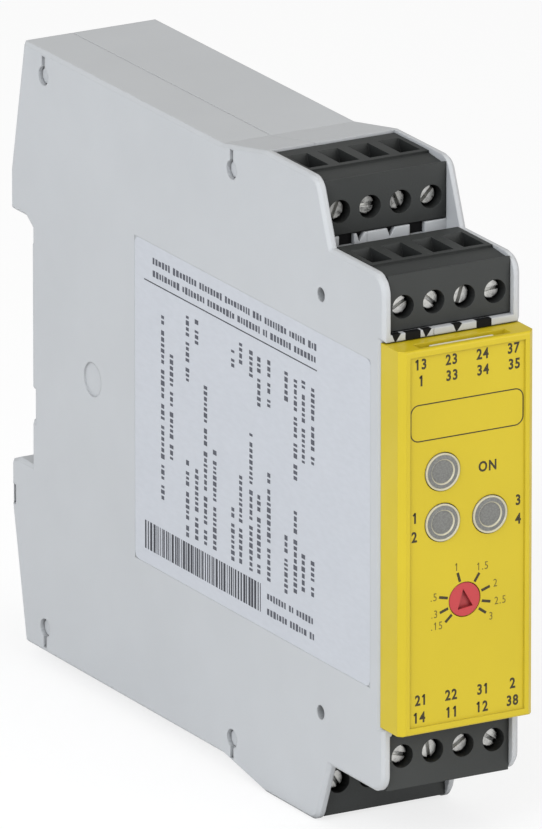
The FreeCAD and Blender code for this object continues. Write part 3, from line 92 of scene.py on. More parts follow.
class NodeGraph:
    """A material's shader tree, with short ways to add and join nodes.

    Where sockets are named in a call, an underscore stands for a space.
    """

    def __init__(self, name: str) -> None:
        """Makes a material of the given name with one plain Principled shader."""
        self.material = bpy.data.materials.new(name)
        self.material.use_nodes = True
        self.tree = self.material.node_tree
        self.tree.nodes.clear()
        self.output = self.add("ShaderNodeOutputMaterial")
        self.shader = self.add("ShaderNodeBsdfPrincipled")
        self.join(self.shader.outputs[0], self.output.inputs["Surface"])
        self.place = self.add("ShaderNodeTexCoord").outputs["Object"]

    def add(self, kind: str, **values: float | Sequence[float]) -> bpy.types.Node:
        """Adds a node of the given kind and sets the named sockets."""
        node = self.tree.nodes.new(kind)
        for name, value in values.items():
            node.inputs[name.replace("_", " ")].default_value = value
        return node

    def join(self, source: Socket, target: Socket) -> None:
        """Joins an output to an input."""
        self.tree.links.new(source, target)

    def set(self, **values: float | Sequence[float]) -> None:
        """Sets the shader's own sockets."""
        for name, value in values.items():
            self.shader.inputs[name.replace("_", " ")].default_value = value

    def feed(self, **sources: Socket) -> None:
        """Joins sources to the shader's own sockets."""
        for name, source in sources.items():
            self.join(source, self.shader.inputs[name.replace("_", " ")])

    def mapped(self, centre: Sequence[float], scale: Sequence[float]) -> Socket:
        """Object coordinates counted from a centre and stretched along each axis.

        Args:
            centre: The point, in metres, that becomes the pattern's origin.
            scale: The stretch along X, Y and Z.

        Returns:
            The socket that carries the new coordinates.
        """
        mapping = self.add("ShaderNodeMapping", Location=[-c * s for c, s in zip(centre, scale)], Scale=scale)
        self.join(self.place, mapping.inputs["Vector"])
        return mapping.outputs[0]

    def noise(self, scale: float, detail: float = 2.0, where: Socket | None = None) -> Socket:
        """Soft noise.

        Args:
            scale: Cells in one unit of the coordinates.
            detail: How many finer layers are added.
            where: Coordinates to read, or None for plain Object coordinates.

        Returns:
            The socket that carries the noise, from 0 to 1.
        """
        texture = self.add("ShaderNodeTexNoise", Scale=scale, Detail=detail)
        self.join(where or self.place, texture.inputs["Vector"])
        return texture.outputs[0]

    def blend(self, value: Socket, stops: Sequence[tuple[float, Colour]]) -> Socket:
        """Turns a value into a colour along a row of stops.

        Args:
            value: The socket that carries the value.
            stops: Places from 0 to 1 with their colours.

        Returns:
            The socket that carries the colour.
        """
        ramp = self.add("ShaderNodeValToRGB")
        while len(ramp.color_ramp.elements) < len(stops):
            ramp.color_ramp.elements.new(0.5)
        for element, (position, colour) in zip(ramp.color_ramp.elements, stops):
            element.position = position
            element.color = (*colour, 1.0)
        self.join(value, ramp.inputs[0])
        return ramp.outputs[0]

    def shade(self, value: Socket, colour: Colour, *stops: tuple[float, float]) -> Socket:
        """Turns a value into a darker or lighter colour; each stop is a place and a factor, up to white."""
        return self.blend(value, [(place, np.minimum(np.array(colour) * factor, 1.0)) for place, factor in stops])

    def spread(self, value: Socket, low: float, high: float) -> Socket:
        """Maps a value's middle range, 0.3 to 0.7, onto low to high."""
        mapper = self.add("ShaderNodeMapRange", From_Min=0.3, From_Max=0.7, To_Min=low, To_Max=high)
        self.join(value, mapper.inputs["Value"])
        return mapper.outputs[0]

    def rounded(self, radius: float) -> Socket:
        """A normal that leans over sharp edges as if they were rounded by the radius, in metres."""
        bevel = self.add("ShaderNodeBevel", Radius=radius)
        bevel.samples = 6
        return bevel.outputs[0]

    def emboss(self, height: Socket, depth: float, strength: float, under: Socket | None = None) -> Socket:
        """Turns a height into a bumped normal.

        Args:
            height: The socket that carries the height, from 0 to 1.
            depth: The relief in metres.
            strength: How much of the bump shows, from 0 to 1.
            under: A normal that this bump lies on, or None.

        Returns:
            The socket that carries the normal.
        """
        bump = self.add("ShaderNodeBump", Distance=depth, Strength=strength)
        self.join(height, bump.inputs["Height"])
        if under is not None:
            self.join(under, bump.inputs["Normal"])
        return bump.outputs[0]


@dataclass(frozen=True)
class Finish:
    """A material's name and its colour as a screen shows it."""

    name: str
    colour: tuple[int, int, int]

    def build(self) -> Material:
        """Makes the material and lets the finish paint it."""
        graph = NodeGraph(self.name)
        self.paint(graph, from_screen(self.colour))
        return graph.material

    def paint(self, graph: NodeGraph, base: np.ndarray) -> None:
        """Adds the finish's pattern.

        Args:
            graph: The material's nodes.
            base: The finish's linear colour.
        """
        raise NotImplementedError


@dataclass(frozen=True)
class MouldedFinish(Finish):
    """Injection-moulded plastic: eroded grain, slow sink waves, handling marks and painted shade in its corners and
    holes.
    """

    grain: Grain = Grain.ERODED
    roughness: float = 0.5
    relief: float = 0.00002
    mottle: float = 0.03
    corner_shade: float = 0.12
    sheen_level: float = 0.45
    corner_reach: float = 0.0012
    hollow_shade: float = 0.6
    round_edges: float = 0.0

    def paint(self, graph: NodeGraph, base: np.ndarray) -> None:
        """Lets the colour wander by the mottle, with painted shade: darker in corners and down to the hollow shade
        tone in deep holes.
        """
        waves = graph.noise(55.0, 3.0)
        tint = graph.shade(waves, base, (0.32, 1.0 - self.mottle), (0.5, 1.0), (0.68, 1.0 + self.mottle))
        # Ambient occlusion paints shade into the colour: corners darken by the corner shade, deep holes down to the
        # hollow shade.
        occlusion = graph.add("ShaderNodeAmbientOcclusion", Distance=self.corner_reach)
        occlusion.samples = 6
        painted_shade = graph.shade(occlusion.outputs["AO"], WHITE, (0.04, self.hollow_shade),
                             (0.38, 1.0 - self.corner_shade), (0.9, 1.0))
        mixer = graph.add("ShaderNodeMix")
        mixer.data_type = "RGBA"
        mixer.blend_type = "MULTIPLY"
        mixer.inputs[0].default_value = 1.0
        graph.join(tint, mixer.inputs[6])
        graph.join(painted_shade, mixer.inputs[7])
        handling = graph.noise(140.0, 4.0)
        edges = graph.rounded(self.round_edges) if self.round_edges > 0.0 else None
        slow = graph.emboss(graph.noise(70.0, 1.0), 0.00005, 0.25, edges)
        graph.feed(Base_Color=mixer.outputs[2],
                   Roughness=graph.spread(handling, self.roughness - 0.05, self.roughness + 0.06),
                   Normal=graph.emboss(graph.noise(self.grain.value), self.relief, 0.6, slow))
        graph.set(Specular_IOR_Level=self.sheen_level)


@dataclass(frozen=True)
class MetalFinish(Finish):
    """Plated metal with drawn lines along one axis and dull spots where the plating is thin."""

    roughness: float = 0.32
    lines: tuple[float, float, float] = (1.0, 0.15, 1.0)
    relief: float = 0.000012

    def paint(self, graph: NodeGraph, base: np.ndarray) -> None:
        """Stretches noise into lines for the gloss and the relief, and lays spots over the colour."""
        drawn = graph.noise(5200.0, 2.0, graph.mapped((0.0, 0.0, 0.0), self.lines))
        graph.feed(Base_Color=graph.shade(graph.noise(900.0, 3.0), base, (0.35, 0.82), (0.6, 1.0)),
                   Roughness=graph.spread(drawn, self.roughness - 0.08, self.roughness + 0.1),
                   Normal=graph.emboss(drawn, self.relief, 0.5))
        graph.set(Metallic=1.0)


@dataclass(frozen=True)
class TurnedFinish(Finish):
    """A turned screw face: fine rings round the screw's own axis."""

    centre: tuple[float, float, float]
    roughness: float = 0.3

    def paint(self, graph: NodeGraph, base: np.ndarray) -> None:
        """Centres the rings of a wave texture on the screw and lays spots over the colour and the gloss."""
        rings = graph.add("ShaderNodeTexWave", Scale=1500.0, Distortion=1.2)
        rings.wave_type = "RINGS"
        rings.rings_direction = "SPHERICAL"
        graph.join(graph.mapped(self.centre, (1.0, 0.05, 1.0)), rings.inputs["Vector"])
        spots = graph.noise(1400.0, 3.0)
        graph.feed(Base_Color=graph.shade(spots, base, (0.34, 0.7), (0.62, 1.0)),
                   Roughness=graph.spread(spots, self.roughness - 0.06, self.roughness + 0.12),
                   Normal=graph.emboss(rings.outputs["Fac"], 0.000008, 0.5))
        graph.set(Metallic=1.0)


@dataclass(frozen=True)
class InkFinish(Finish):
    """Printing ink: a thin matt film with pinholes and a slightly uneven tone."""

    roughness: float = 0.55

    def paint(self, graph: NodeGraph, base: np.ndarray) -> None:
        """Lifts the ink's tone by noise where the film is thin."""
        film = graph.noise(2600.0, 3.0)
        graph.feed(Base_Color=graph.blend(film, [(0.35, base * 0.8), (0.6, base), (0.78, base * 1.5 + 0.01)]),
                   Normal=graph.emboss(film, 0.000006, 0.4))
        graph.set(Roughness=self.roughness)


@dataclass(frozen=True)
class LabelFinish(Finish):
    """A satin sticker: faint fibres across, an orange-peel coat and a little wear."""

    def paint(self, graph: NodeGraph, base: np.ndarray) -> None:
        """Stretches noise into fibres and lays a clear coat on top."""
        fibres = graph.noise(1800.0, 3.0, graph.mapped((0.0, 0.0, 0.0), (1.0, 0.3, 1.0)))
        graph.feed(Base_Color=graph.shade(fibres, base, (0.3, 0.975), (0.7, 1.02)),
                   Roughness=graph.spread(graph.noise(120.0, 3.0), 0.36, 0.48),
                   Normal=graph.emboss(graph.noise(700.0), 0.000015, 0.35))
        graph.set(Coat_Weight=0.12, Coat_Roughness=0.3)


@dataclass(frozen=True)
class LensFinish(Finish):
    """A moulded lens over an unlit lamp: a pebbled inner face under a clear skin."""

    pebble: float = 3900.0
    pebble_relief: float = 0.00005

    def paint(self, graph: NodeGraph, base: np.ndarray) -> None:
        """Gives the pebbles their tone and relief from cell noise."""
        cells = graph.add("ShaderNodeTexVoronoi", Scale=self.pebble)
        graph.join(graph.place, cells.inputs["Vector"])
        away = cells.outputs["Distance"]
        graph.feed(Base_Color=graph.shade(away, base, (0.1, 1.12), (0.75, 0.8)),
                   Normal=graph.emboss(away, self.pebble_relief, 0.5))
        graph.set(Roughness=0.32, Coat_Weight=0.5, Coat_Roughness=0.06)


@dataclass(frozen=True)
class BoardFinish(Finish):
    """A circuit board: solder resist over faint copper tracks."""

    def paint(self, graph: NodeGraph, base: np.ndarray) -> None:
        """Lays a brick pattern for the tracks under a glossy resist."""
        tracks = graph.add("ShaderNodeTexBrick", Color1=(*base, 1.0), Color2=(*(base * 1.35), 1.0),
                           Mortar=(*(base * 0.6), 1.0), Scale=160.0, Mortar_Size=0.03)
        turned = graph.add("ShaderNodeMapping", Rotation=(0.0, math.pi / 2, 0.0))
        graph.join(graph.place, turned.inputs["Vector"])
        graph.join(turned.outputs[0], tracks.inputs["Vector"])
        graph.feed(Base_Color=tracks.outputs["Color"],
                   Normal=graph.emboss(graph.noise(1200.0), 0.00001, 0.3))
        graph.set(Roughness=0.35)


# Moulded finishes paint shade by ambient occlusion: the seventh value darkens corners, the ninth is how far the shade
# reaches, the tenth how dark deep holes are painted.
HOUSING = MouldedFinish("housing_grey", (193, 195, 197), Grain.ERODED, 0.55, 0.00003, 0.02, 0.14, 0.35,
                        0.0022, 0.12, 0.00035)
COVER = MouldedFinish("cover_yellow", (204, 181, 32), Grain.SATIN, 0.42, 0.000015, 0.025, 0.16, 0.4,
                      0.0012, 0.4, 0.0002)
TERMINAL = MouldedFinish("terminal_grey", (55, 57, 56), Grain.ERODED, 0.55, 0.00003, 0.08, 0.5, 0.35,
                         0.006, 0.06, 0.00012)
LATCH = MouldedFinish("latch_black", (52, 53, 54), Grain.SATIN, 0.45, 0.00002, 0.06, 0.3, 0.5)
STRIP = MouldedFinish("strip_cream", (226, 224, 206), Grain.SATIN, 0.4, 0.00001, 0.02, 0.1, 0.4)
DIAL = MouldedFinish("dial_red", (190, 58, 62), Grain.SATIN, 0.34, 0.000012, 0.04, 0.45, 0.5)
CONTROL = MouldedFinish("control_black", (30, 30, 32), Grain.POLISHED, 0.35)
RELAY_CASE = MouldedFinish("relay_case", (228, 227, 220), Grain.SATIN, 0.3)
CAPACITOR = MouldedFinish("capacitor_sleeve", (26, 34, 66), Grain.POLISHED, 0.25)
HEADER = MouldedFinish("header_black", (36, 36, 37), Grain.ERODED, 0.5)
LAMP = MouldedFinish("lamp_white", (225, 224, 214), Grain.POLISHED, 0.3)
# Near-black that paints the shade seen through the sill openings.
GAP_SHADE = MouldedFinish("gap_shade_black", (20, 20, 21), Grain.ERODED, 0.7, 0.00002, 0.05, 0.2, 0.15)
LABEL = LabelFinish("label_satin", (194, 197, 203))
PANEL_INK = InkFinish("panel_ink", (54, 45, 10))
DIAL_INK = InkFinish("dial_ink", (116, 100, 22))
LABEL_INK = InkFinish("label_ink", (44, 46, 56))
ROW_INK = InkFinish("row_ink", (78, 80, 90))
LENS = LensFinish("lens_grey", (116, 116, 112))
LENS_RING = MouldedFinish("lens_ring", (196, 190, 164), Grain.POLISHED, 0.25)
CAGE_STEEL = MetalFinish("cage_steel", (196, 196, 192), 0.36)
CONTACT = MetalFinish("contact_tin", (205, 196, 178), 0.3)
SPRING = MetalFinish("spring_steel", (176, 176, 174), 0.28)
BOARD = BoardFinish("board_green", (38, 96, 58))
SCREW_COLOUR = (205, 205, 202)
SCREW = MetalFinish("screw_steel", SCREW_COLOUR, 0.3)


def shown(name: str, data: bpy.types.ID) -> bpy.types.Object:
    """Puts data into the scene as a new object at the origin, unturned and unscaled."""
    piece = bpy.data.objects.new(name, data)
    bpy.context.scene.collection.objects.link(piece)
    return piece


def plain_mesh(name: str, points: np.ndarray, rows: Rows,
               materials: Sequence[Material]) -> bpy.types.Mesh:
    """Makes a mesh of points and faces, with its materials in slot order."""
    mesh = bpy.data.meshes.new(name)
    mesh.from_pydata(points.tolist(), [], rows)
    for material in materials:
        mesh.materials.append(material)
    return mesh


def surface(name: str, points: np.ndarray, faces: Rows, body: str,
            materials: Sequence[Material], slots: np.ndarray | None = None,
            smooth: bool = False) -> bpy.types.Object:
    """Puts worked-out points and faces into a mesh object that rides on a body.

    Args:
        name: The piece's name.
        points: Vertices, one row of three metres each.
        faces: Vertex numbers, one row of four for each face; a repeated number makes a triangle.
        body: The body of the model that it moves with.
        materials: The materials in slot order.
        slots: The material slot of each face, or None for the first.
        smooth: Whether the faces are shaded smooth.

    Returns:
        The new object, at the origin, unturned and unscaled.
    """
    rows = [tuple(dict.fromkeys(int(v) for v in row)) for row in faces]
    mesh = plain_mesh(name, points, rows, materials)
    if slots is not None:
        mesh.polygons.foreach_set("material_index", slots.astype(np.int32))
    mesh.polygons.foreach_set("use_smooth", np.full(len(rows), smooth))
    mesh.validate()
    mesh.update()
    piece = shown(name, mesh)
    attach(piece, body)
    return piece


def grid_faces(rows: int, columns: int, closed: bool) -> np.ndarray:
    """Faces between the neighbours of a grid of points.

    Args:
        rows: How many rows the grid has.
        columns: How many points a row has.
        closed: Whether the last column joins the first.

    Returns:
        Vertex numbers, four for each face: face (i, j) joins (i, j), (i, j+1), (i+1, j+1) and (i+1, j).
    """
    across = columns if closed else columns - 1
    i, j = np.meshgrid(np.arange(rows - 1), np.arange(across), indexing="ij")
    following = (j + 1) % columns
    return np.stack([i * columns + j, i * columns + following,
                     (i + 1) * columns + following, (i + 1) * columns + j], axis=-1).reshape(-1, 4)


def turned_shape(profile: np.ndarray, centre: Sequence[float], steps: int) -> Shape:
    """Turns a profile round an axis that runs along the depth.

    Args:
        profile: Rows of radius and distance towards the front, both in metres, from back to front. The
            first and last radius are 0, which closes the shape.
        centre: The point that radius 0 and distance 0 stand for.
        steps: Points in one turn.

    Returns:
        Points and faces. Point (k, a) is the centre plus (r cos a, -t, r sin a), where r and t are
        the profile's radius and distance; the faces point outwards.
    """
    angle = np.linspace(0.0, 2.0 * np.pi, steps, endpoint=False)
    radius, forward = profile[:, :1], profile[:, 1:]
    points = np.stack([radius * np.cos(angle), -forward + 0.0 * angle, radius * np.sin(angle)], axis=-1)
    return points.reshape(-1, 3) + np.array(centre), grid_faces(len(profile), steps, True)[:, ::-1]


def prisms(outlines: np.ndarray) -> Shape:
    """Flat blocks on four-cornered outlines.

    Args:
        outlines: For each block four corners of across and up, in metres, walked anticlockwise.

    Returns:
        Corners as rows of (across, up, height 0 or 1), each outline low and then high, and six faces a block.
    """
    height = np.zeros(outlines.shape[:2] + (1,))
    corners = np.concatenate([np.concatenate([outlines, height + step], axis=-1) for step in (0.0, 1.0)], axis=1)
    pattern = np.array([[3, 2, 1, 0], [4, 5, 6, 7], [0, 1, 5, 4], [1, 2, 6, 5], [2, 3, 7, 6], [3, 0, 4, 7]])
    faces = pattern[None] + 8 * np.arange(len(outlines))[:, None, None]
    return corners.reshape(-1, 3), faces.reshape(-1, 4)


def plates(centres: np.ndarray, halves: np.ndarray, turn: np.ndarray | float = 0.0) -> Shape:
    """Flat blocks on turned rectangles, for print.

    Args:
        centres: Rows of across and up, in metres.
        halves: Rows of half sizes across and up.
        turn: Each rectangle's turn in radians, or one turn for all.

    Returns:
        Corners and faces as prisms gives them. Corner offsets are turned by
        (x cos t - y sin t, x sin t + y cos t).
    """
    signs = np.array([[-1, -1], [1, -1], [1, 1], [-1, 1]], float)
    x, y = np.moveaxis(halves[:, None, :] * signs[None], -1, 0)
    cosine, sine = (np.reshape(wave(turn), (-1, 1)) for wave in (np.cos, np.sin))
    return prisms(np.stack([x * cosine - y * sine, x * sine + y * cosine], axis=-1) + centres[:, None, :])


def rounded_path(left: float, right: float, low: float, high: float, radius: float) -> np.ndarray:
    """Walks a rounded rectangle anticlockwise: nine points on the quarter circle of each corner.

    Args:
        left, right, low, high: The rectangle's sides, across and up.
        radius: The corners' radius.

    Returns:
        Rows of across and up. Each point is its corner's middle plus the radius times (cos a, sin a).
    """
    angle = np.linspace(0.0, np.pi / 2, 9)[None] + np.arange(4)[:, None] * np.pi / 2
    across = np.array([right - radius, left + radius, left + radius, right - radius])[:, None]
    up = np.array([high - radius, high - radius, low + radius, low + radius])[:, None]
    return np.stack([across + radius * np.cos(angle), up + radius * np.sin(angle)], axis=-1).reshape(-1, 2)


def sheet(path: np.ndarray) -> Shape:
    """A flat sheet inside a closed path, as rows of (across, up, height 0 or 1) and faces fanned from its middle."""
    count = len(path)
    middle = path.mean(axis=0)
    low = np.column_stack([path, np.zeros(count)])
    corners = np.concatenate([low, low + [0.0, 0.0, 1.0], [[*middle, 0.0], [*middle, 1.0]]])
    j = np.arange(count)
    following = (j + 1) % count
    under, over = np.full(count, 2 * count), np.full(count, 2 * count + 1)
    sides = np.stack([j, following, count + following, count + j], axis=-1)
    bottom = np.stack([following, j, under, under], axis=-1)
    top = np.stack([count + j, count + following, over, over], axis=-1)
    return corners, np.concatenate([sides, bottom, top])


def stroke_loop(path: np.ndarray, width: float) -> Shape:
    """A flat line of constant width carried round a closed path.

    Args:
        path: Rows of across and up, in metres, walked once round.
        width: The line's width.

    Returns:
        Corners as rows of (across, up, height 0 or 1) and faces. Each path point gives four corners, half
        the width to both sides along the path's normal, at both heights.
    """
    ahead = np.roll(path, -1, axis=0) - np.roll(path, 1, axis=0)
    normal = np.stack([-ahead[:, 1], ahead[:, 0]], axis=-1) / np.linalg.norm(ahead, axis=1, keepdims=True)
    inner, outer = path + normal * width / 2, path - normal * width / 2
    ring = [(outer, 0.0), (outer, 1.0), (inner, 1.0), (inner, 0.0)]
    corners = np.concatenate([np.column_stack([points, np.full(len(path), height)]) for points, height in ring])
    return corners, grid_faces(len(ring) + 1, len(path), True) % len(corners)


def joined(shapes: Sequence[Shape]) -> Shape:
    """Puts several shapes into one.

    Args:
        shapes: Points and faces of each shape.

    Returns:
        All points, and all faces with each shape's vertex numbers moved on by the points before it.
    """
    starts = np.cumsum([0] + [len(points) for points, _ in shapes]).tolist()
    rows = [tuple(int(v) + start for v in face) for (_, faces), start in zip(shapes, starts) for face in faces]
    return np.concatenate([points for points, _ in shapes]), rows


def facing(corners: np.ndarray, depth: float, thickness: float) -> np.ndarray:
    """Stands flat corners on a plane that looks to the front.

    Args:
        corners: Rows of (across, up, height 0 or 1).
        depth: The plane's distance from the rail's seat, in metres.
        thickness: What height 1 stands for.

    Returns:
        Points: X is across, Y is minus (depth + height x thickness) and Z is up.
    """
    return np.stack([corners[:, 0], -(depth + corners[:, 2] * thickness), corners[:, 1]], axis=-1)


@dataclass
class CadDress:
    """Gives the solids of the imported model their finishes, by the start of their names."""

    finishes: tuple[tuple[str, Finish], ...] = (
        ("left_shell", HOUSING), ("right_shell", HOUSING), ("front_cover", COVER), ("marker_strip", STRIP),
        ("rating_label", LABEL), ("light_guide", LENS_RING), ("dial_knob", DIAL), ("potentiometer", CONTROL),
        ("rail_latch", LATCH), ("latch_spring", SPRING), ("capacitor", CAPACITOR), ("main_board", BOARD),
        ("front_board", BOARD), ("status_lamps", LAMP), ("relay_", RELAY_CASE), ("plug_", TERMINAL),
        ("header_", HEADER), ("contacts_", CONTACT), ("cage_", CAGE_STEEL), ("screw_", SCREW),
    )

    def dress(self) -> int:
        """Assigns one shared material to each solid.

        Returns:
            How many solids were dressed.
        """
        made: dict[str, Material] = {}
        for name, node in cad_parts.items():
            finish = next(finish for start, finish in self.finishes if name.startswith(start))
            if finish.name not in made:
                made[finish.name] = finish.build()
            node.data.materials.clear()
            node.data.materials.append(made[finish.name])
        return len(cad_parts)


@dataclass
class FrontPrint:
    """The cover's print: a writing field, plain numbers and the dial's marks."""

    face_depth: float = 107.5 * MM
    film: float = 0.02 * MM
    line: float = 0.17 * MM
    field: tuple[float, ...] = (-9.2 * MM, 9.15 * MM, 15.0 * MM, 20.4 * MM, 1.3 * MM)
    dial_centre: tuple[float, float] = (-0.3 * MM, -9.7 * MM)
    tick_inner: float = 2.87 * MM
    tick_outer: float = 4.32 * MM
    tick_width: float = 0.4 * MM
    tick_angles: tuple[float, ...] = (-132.5, -108.5, -77.0, -16.0, 33.5, 72.0, 103.0, 126.3)
    digit_height: float = 1.62
    dial_digit_height: float = 1.15
    digit_width: float = 0.84
    spacing: float = 1.18
    bold: float = 0.03
    numbers: tuple[Mark, ...] = (
        ("13", -7.6, 26.45), ("23", -2.6, 26.45), ("24", 2.5, 26.5), ("37", 7.6, 26.55),
        ("1", -7.6, 24.0), ("33", -2.5, 24.1), ("34", 2.6, 24.1), ("35", 7.7, 24.2),
        ("21", -7.6, -23.6), ("22", -2.5, -23.6), ("31", 2.6, -23.6), ("2", 7.6, -23.5),
        ("14", -7.7, -26.2), ("11", -2.5, -26.2), ("12", 2.6, -26.2), ("38", 7.6, -26.1),
        ("ON", 3.36, 9.7), ("1", -8.6, 3.7), ("2", -8.6, 0.9), ("3", 8.4, 3.8), ("4", 8.4, 1.0),
    )
    dial_numbers: tuple[Mark, ...] = (
        (".15", -4.9, -12.95), (".3", -5.3, -11.15), (".5", -5.4, -8.6), ("1", -1.75, -4.65),
        ("1.5", 2.6, -5.15), ("2", 4.7, -8.0), ("2.5", 5.5, -10.7), ("3", 4.0, -12.85),
    )

    def lay(self, name: str, shape: Shape, ink: Material) -> None:
        """Makes one printed piece of a flat shape on the panel."""
        surface(name, facing(shape[0], self.face_depth, self.film), shape[1], "housing", [ink])

    def dial_marks(self, ink: Material) -> None:
        """Draws the radial ticks round the dial, each a bar from the inner to the outer radius."""
        angle = np.radians(np.array(self.tick_angles))
        middle = (self.tick_inner + self.tick_outer) / 2
        centres = np.stack([self.dial_centre[0] + middle * np.sin(angle),
                            self.dial_centre[1] + middle * np.cos(angle)], axis=-1)
        halves = np.tile([self.tick_width / 2, (self.tick_outer - self.tick_inner) / 2], (len(angle), 1))
        self.lay("print_dial_marks", plates(centres, halves, -angle), ink)

    def outline(self, text: str, weight: float) -> Shape:
        """Works out a plain outline mesh of signs in type units, let out by a share of the type size."""
        curve = bpy.data.curves.new("number", "FONT")
        curve.body = text
        curve.extrude = 0.01
        curve.offset = weight
        curve.space_character = self.spacing
        curve.resolution_u = 3
        holder = shown("number", curve)
        bpy.context.view_layer.update()
        mesh = bpy.data.meshes.new_from_object(holder)
        flat = np.array([v.co for v in mesh.vertices])
        faces = [tuple(p.vertices) for p in mesh.polygons]
        bpy.data.objects.remove(holder)
        bpy.data.meshes.remove(mesh)
        return flat * [1.0, 1.0, 0.0] + np.outer(flat[:, 2] > 0, [0.0, 0.0, 1.0]), faces

    def flags(self, text: str, weight: float, top: float, size: float) -> Shape:
        """Works out the short stroke that starts each 1, a bar that leans from the stem's top down to the left.

        Args:
            text: The digits.
            weight: How far the outline is let out.
            top: The digits' top in type units.
            size: The digits' height in type units.

        Returns:
            Corners and faces as plates gives them, one bar for each 1.
        """
        stem = np.ptp(self.outline("1", weight)[0][:, 0])
        ends = [self.outline(text[:i + 1], weight)[0][:, 0].max() for i, sign in enumerate(text) if sign == "1"]
        centres = np.column_stack([np.array(ends) - stem * 0.5 - size * 0.12, np.full(len(ends), top - size * 0.16)])
        return plates(centres, np.tile([size * 0.15, stem * 0.4], (len(ends), 1)), math.radians(38))

    def number(self, mark: Mark, height: float, weight: float) -> Shape:
        """Works out one number's mesh.

        Args:
            mark: The digits and the number's middle, across and up, in millimetres.
            height: Height of a digit, in millimetres.
            weight: How far the outline is let out, as a share of the type size.

        Returns:
            Points on the panel and faces, scaled so that a digit has the height and centred on the place.
        """
        text, *middle = mark
        flat, faces = self.outline(text, weight)
        size = np.ptp(flat[:, 1])
        if "1" in text:
            flat, faces = joined([(flat, faces), self.flags(text, weight, flat[:, 1].max(), size)])
        centred = (flat[:, :2] - (flat.min(axis=0) + flat.max(axis=0))[:2] / 2) * height * MM / size
        placed = centred * [self.digit_width, 1.0] + np.array(middle) * MM
        return facing(np.column_stack([placed, flat[:, 2]]), self.face_depth, self.film), faces

    def all_numbers(self, name: str, marks: Sequence[Mark], height: float, weight: float, ink: Material) -> None:
        """Joins a set of numbers of one height and weight into one printed piece."""
        points, rows = joined([self.number(mark, height, weight) for mark in marks])
        mesh = plain_mesh(name, points, rows, [ink])
        mesh.update()
        piece = shown(name, mesh)
        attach(piece, "housing")

    def build(self) -> None:
        """Makes all of the panel's print."""
        ink = PANEL_INK.build()
        self.lay("print_writing_field", stroke_loop(rounded_path(*self.field), self.line), ink)
        self.dial_marks(ink)
        self.all_numbers("print_numbers", self.numbers, self.digit_height, self.bold, ink)
        self.all_numbers("print_dial_numbers", self.dial_numbers, self.dial_digit_height, 0.0, DIAL_INK.build())


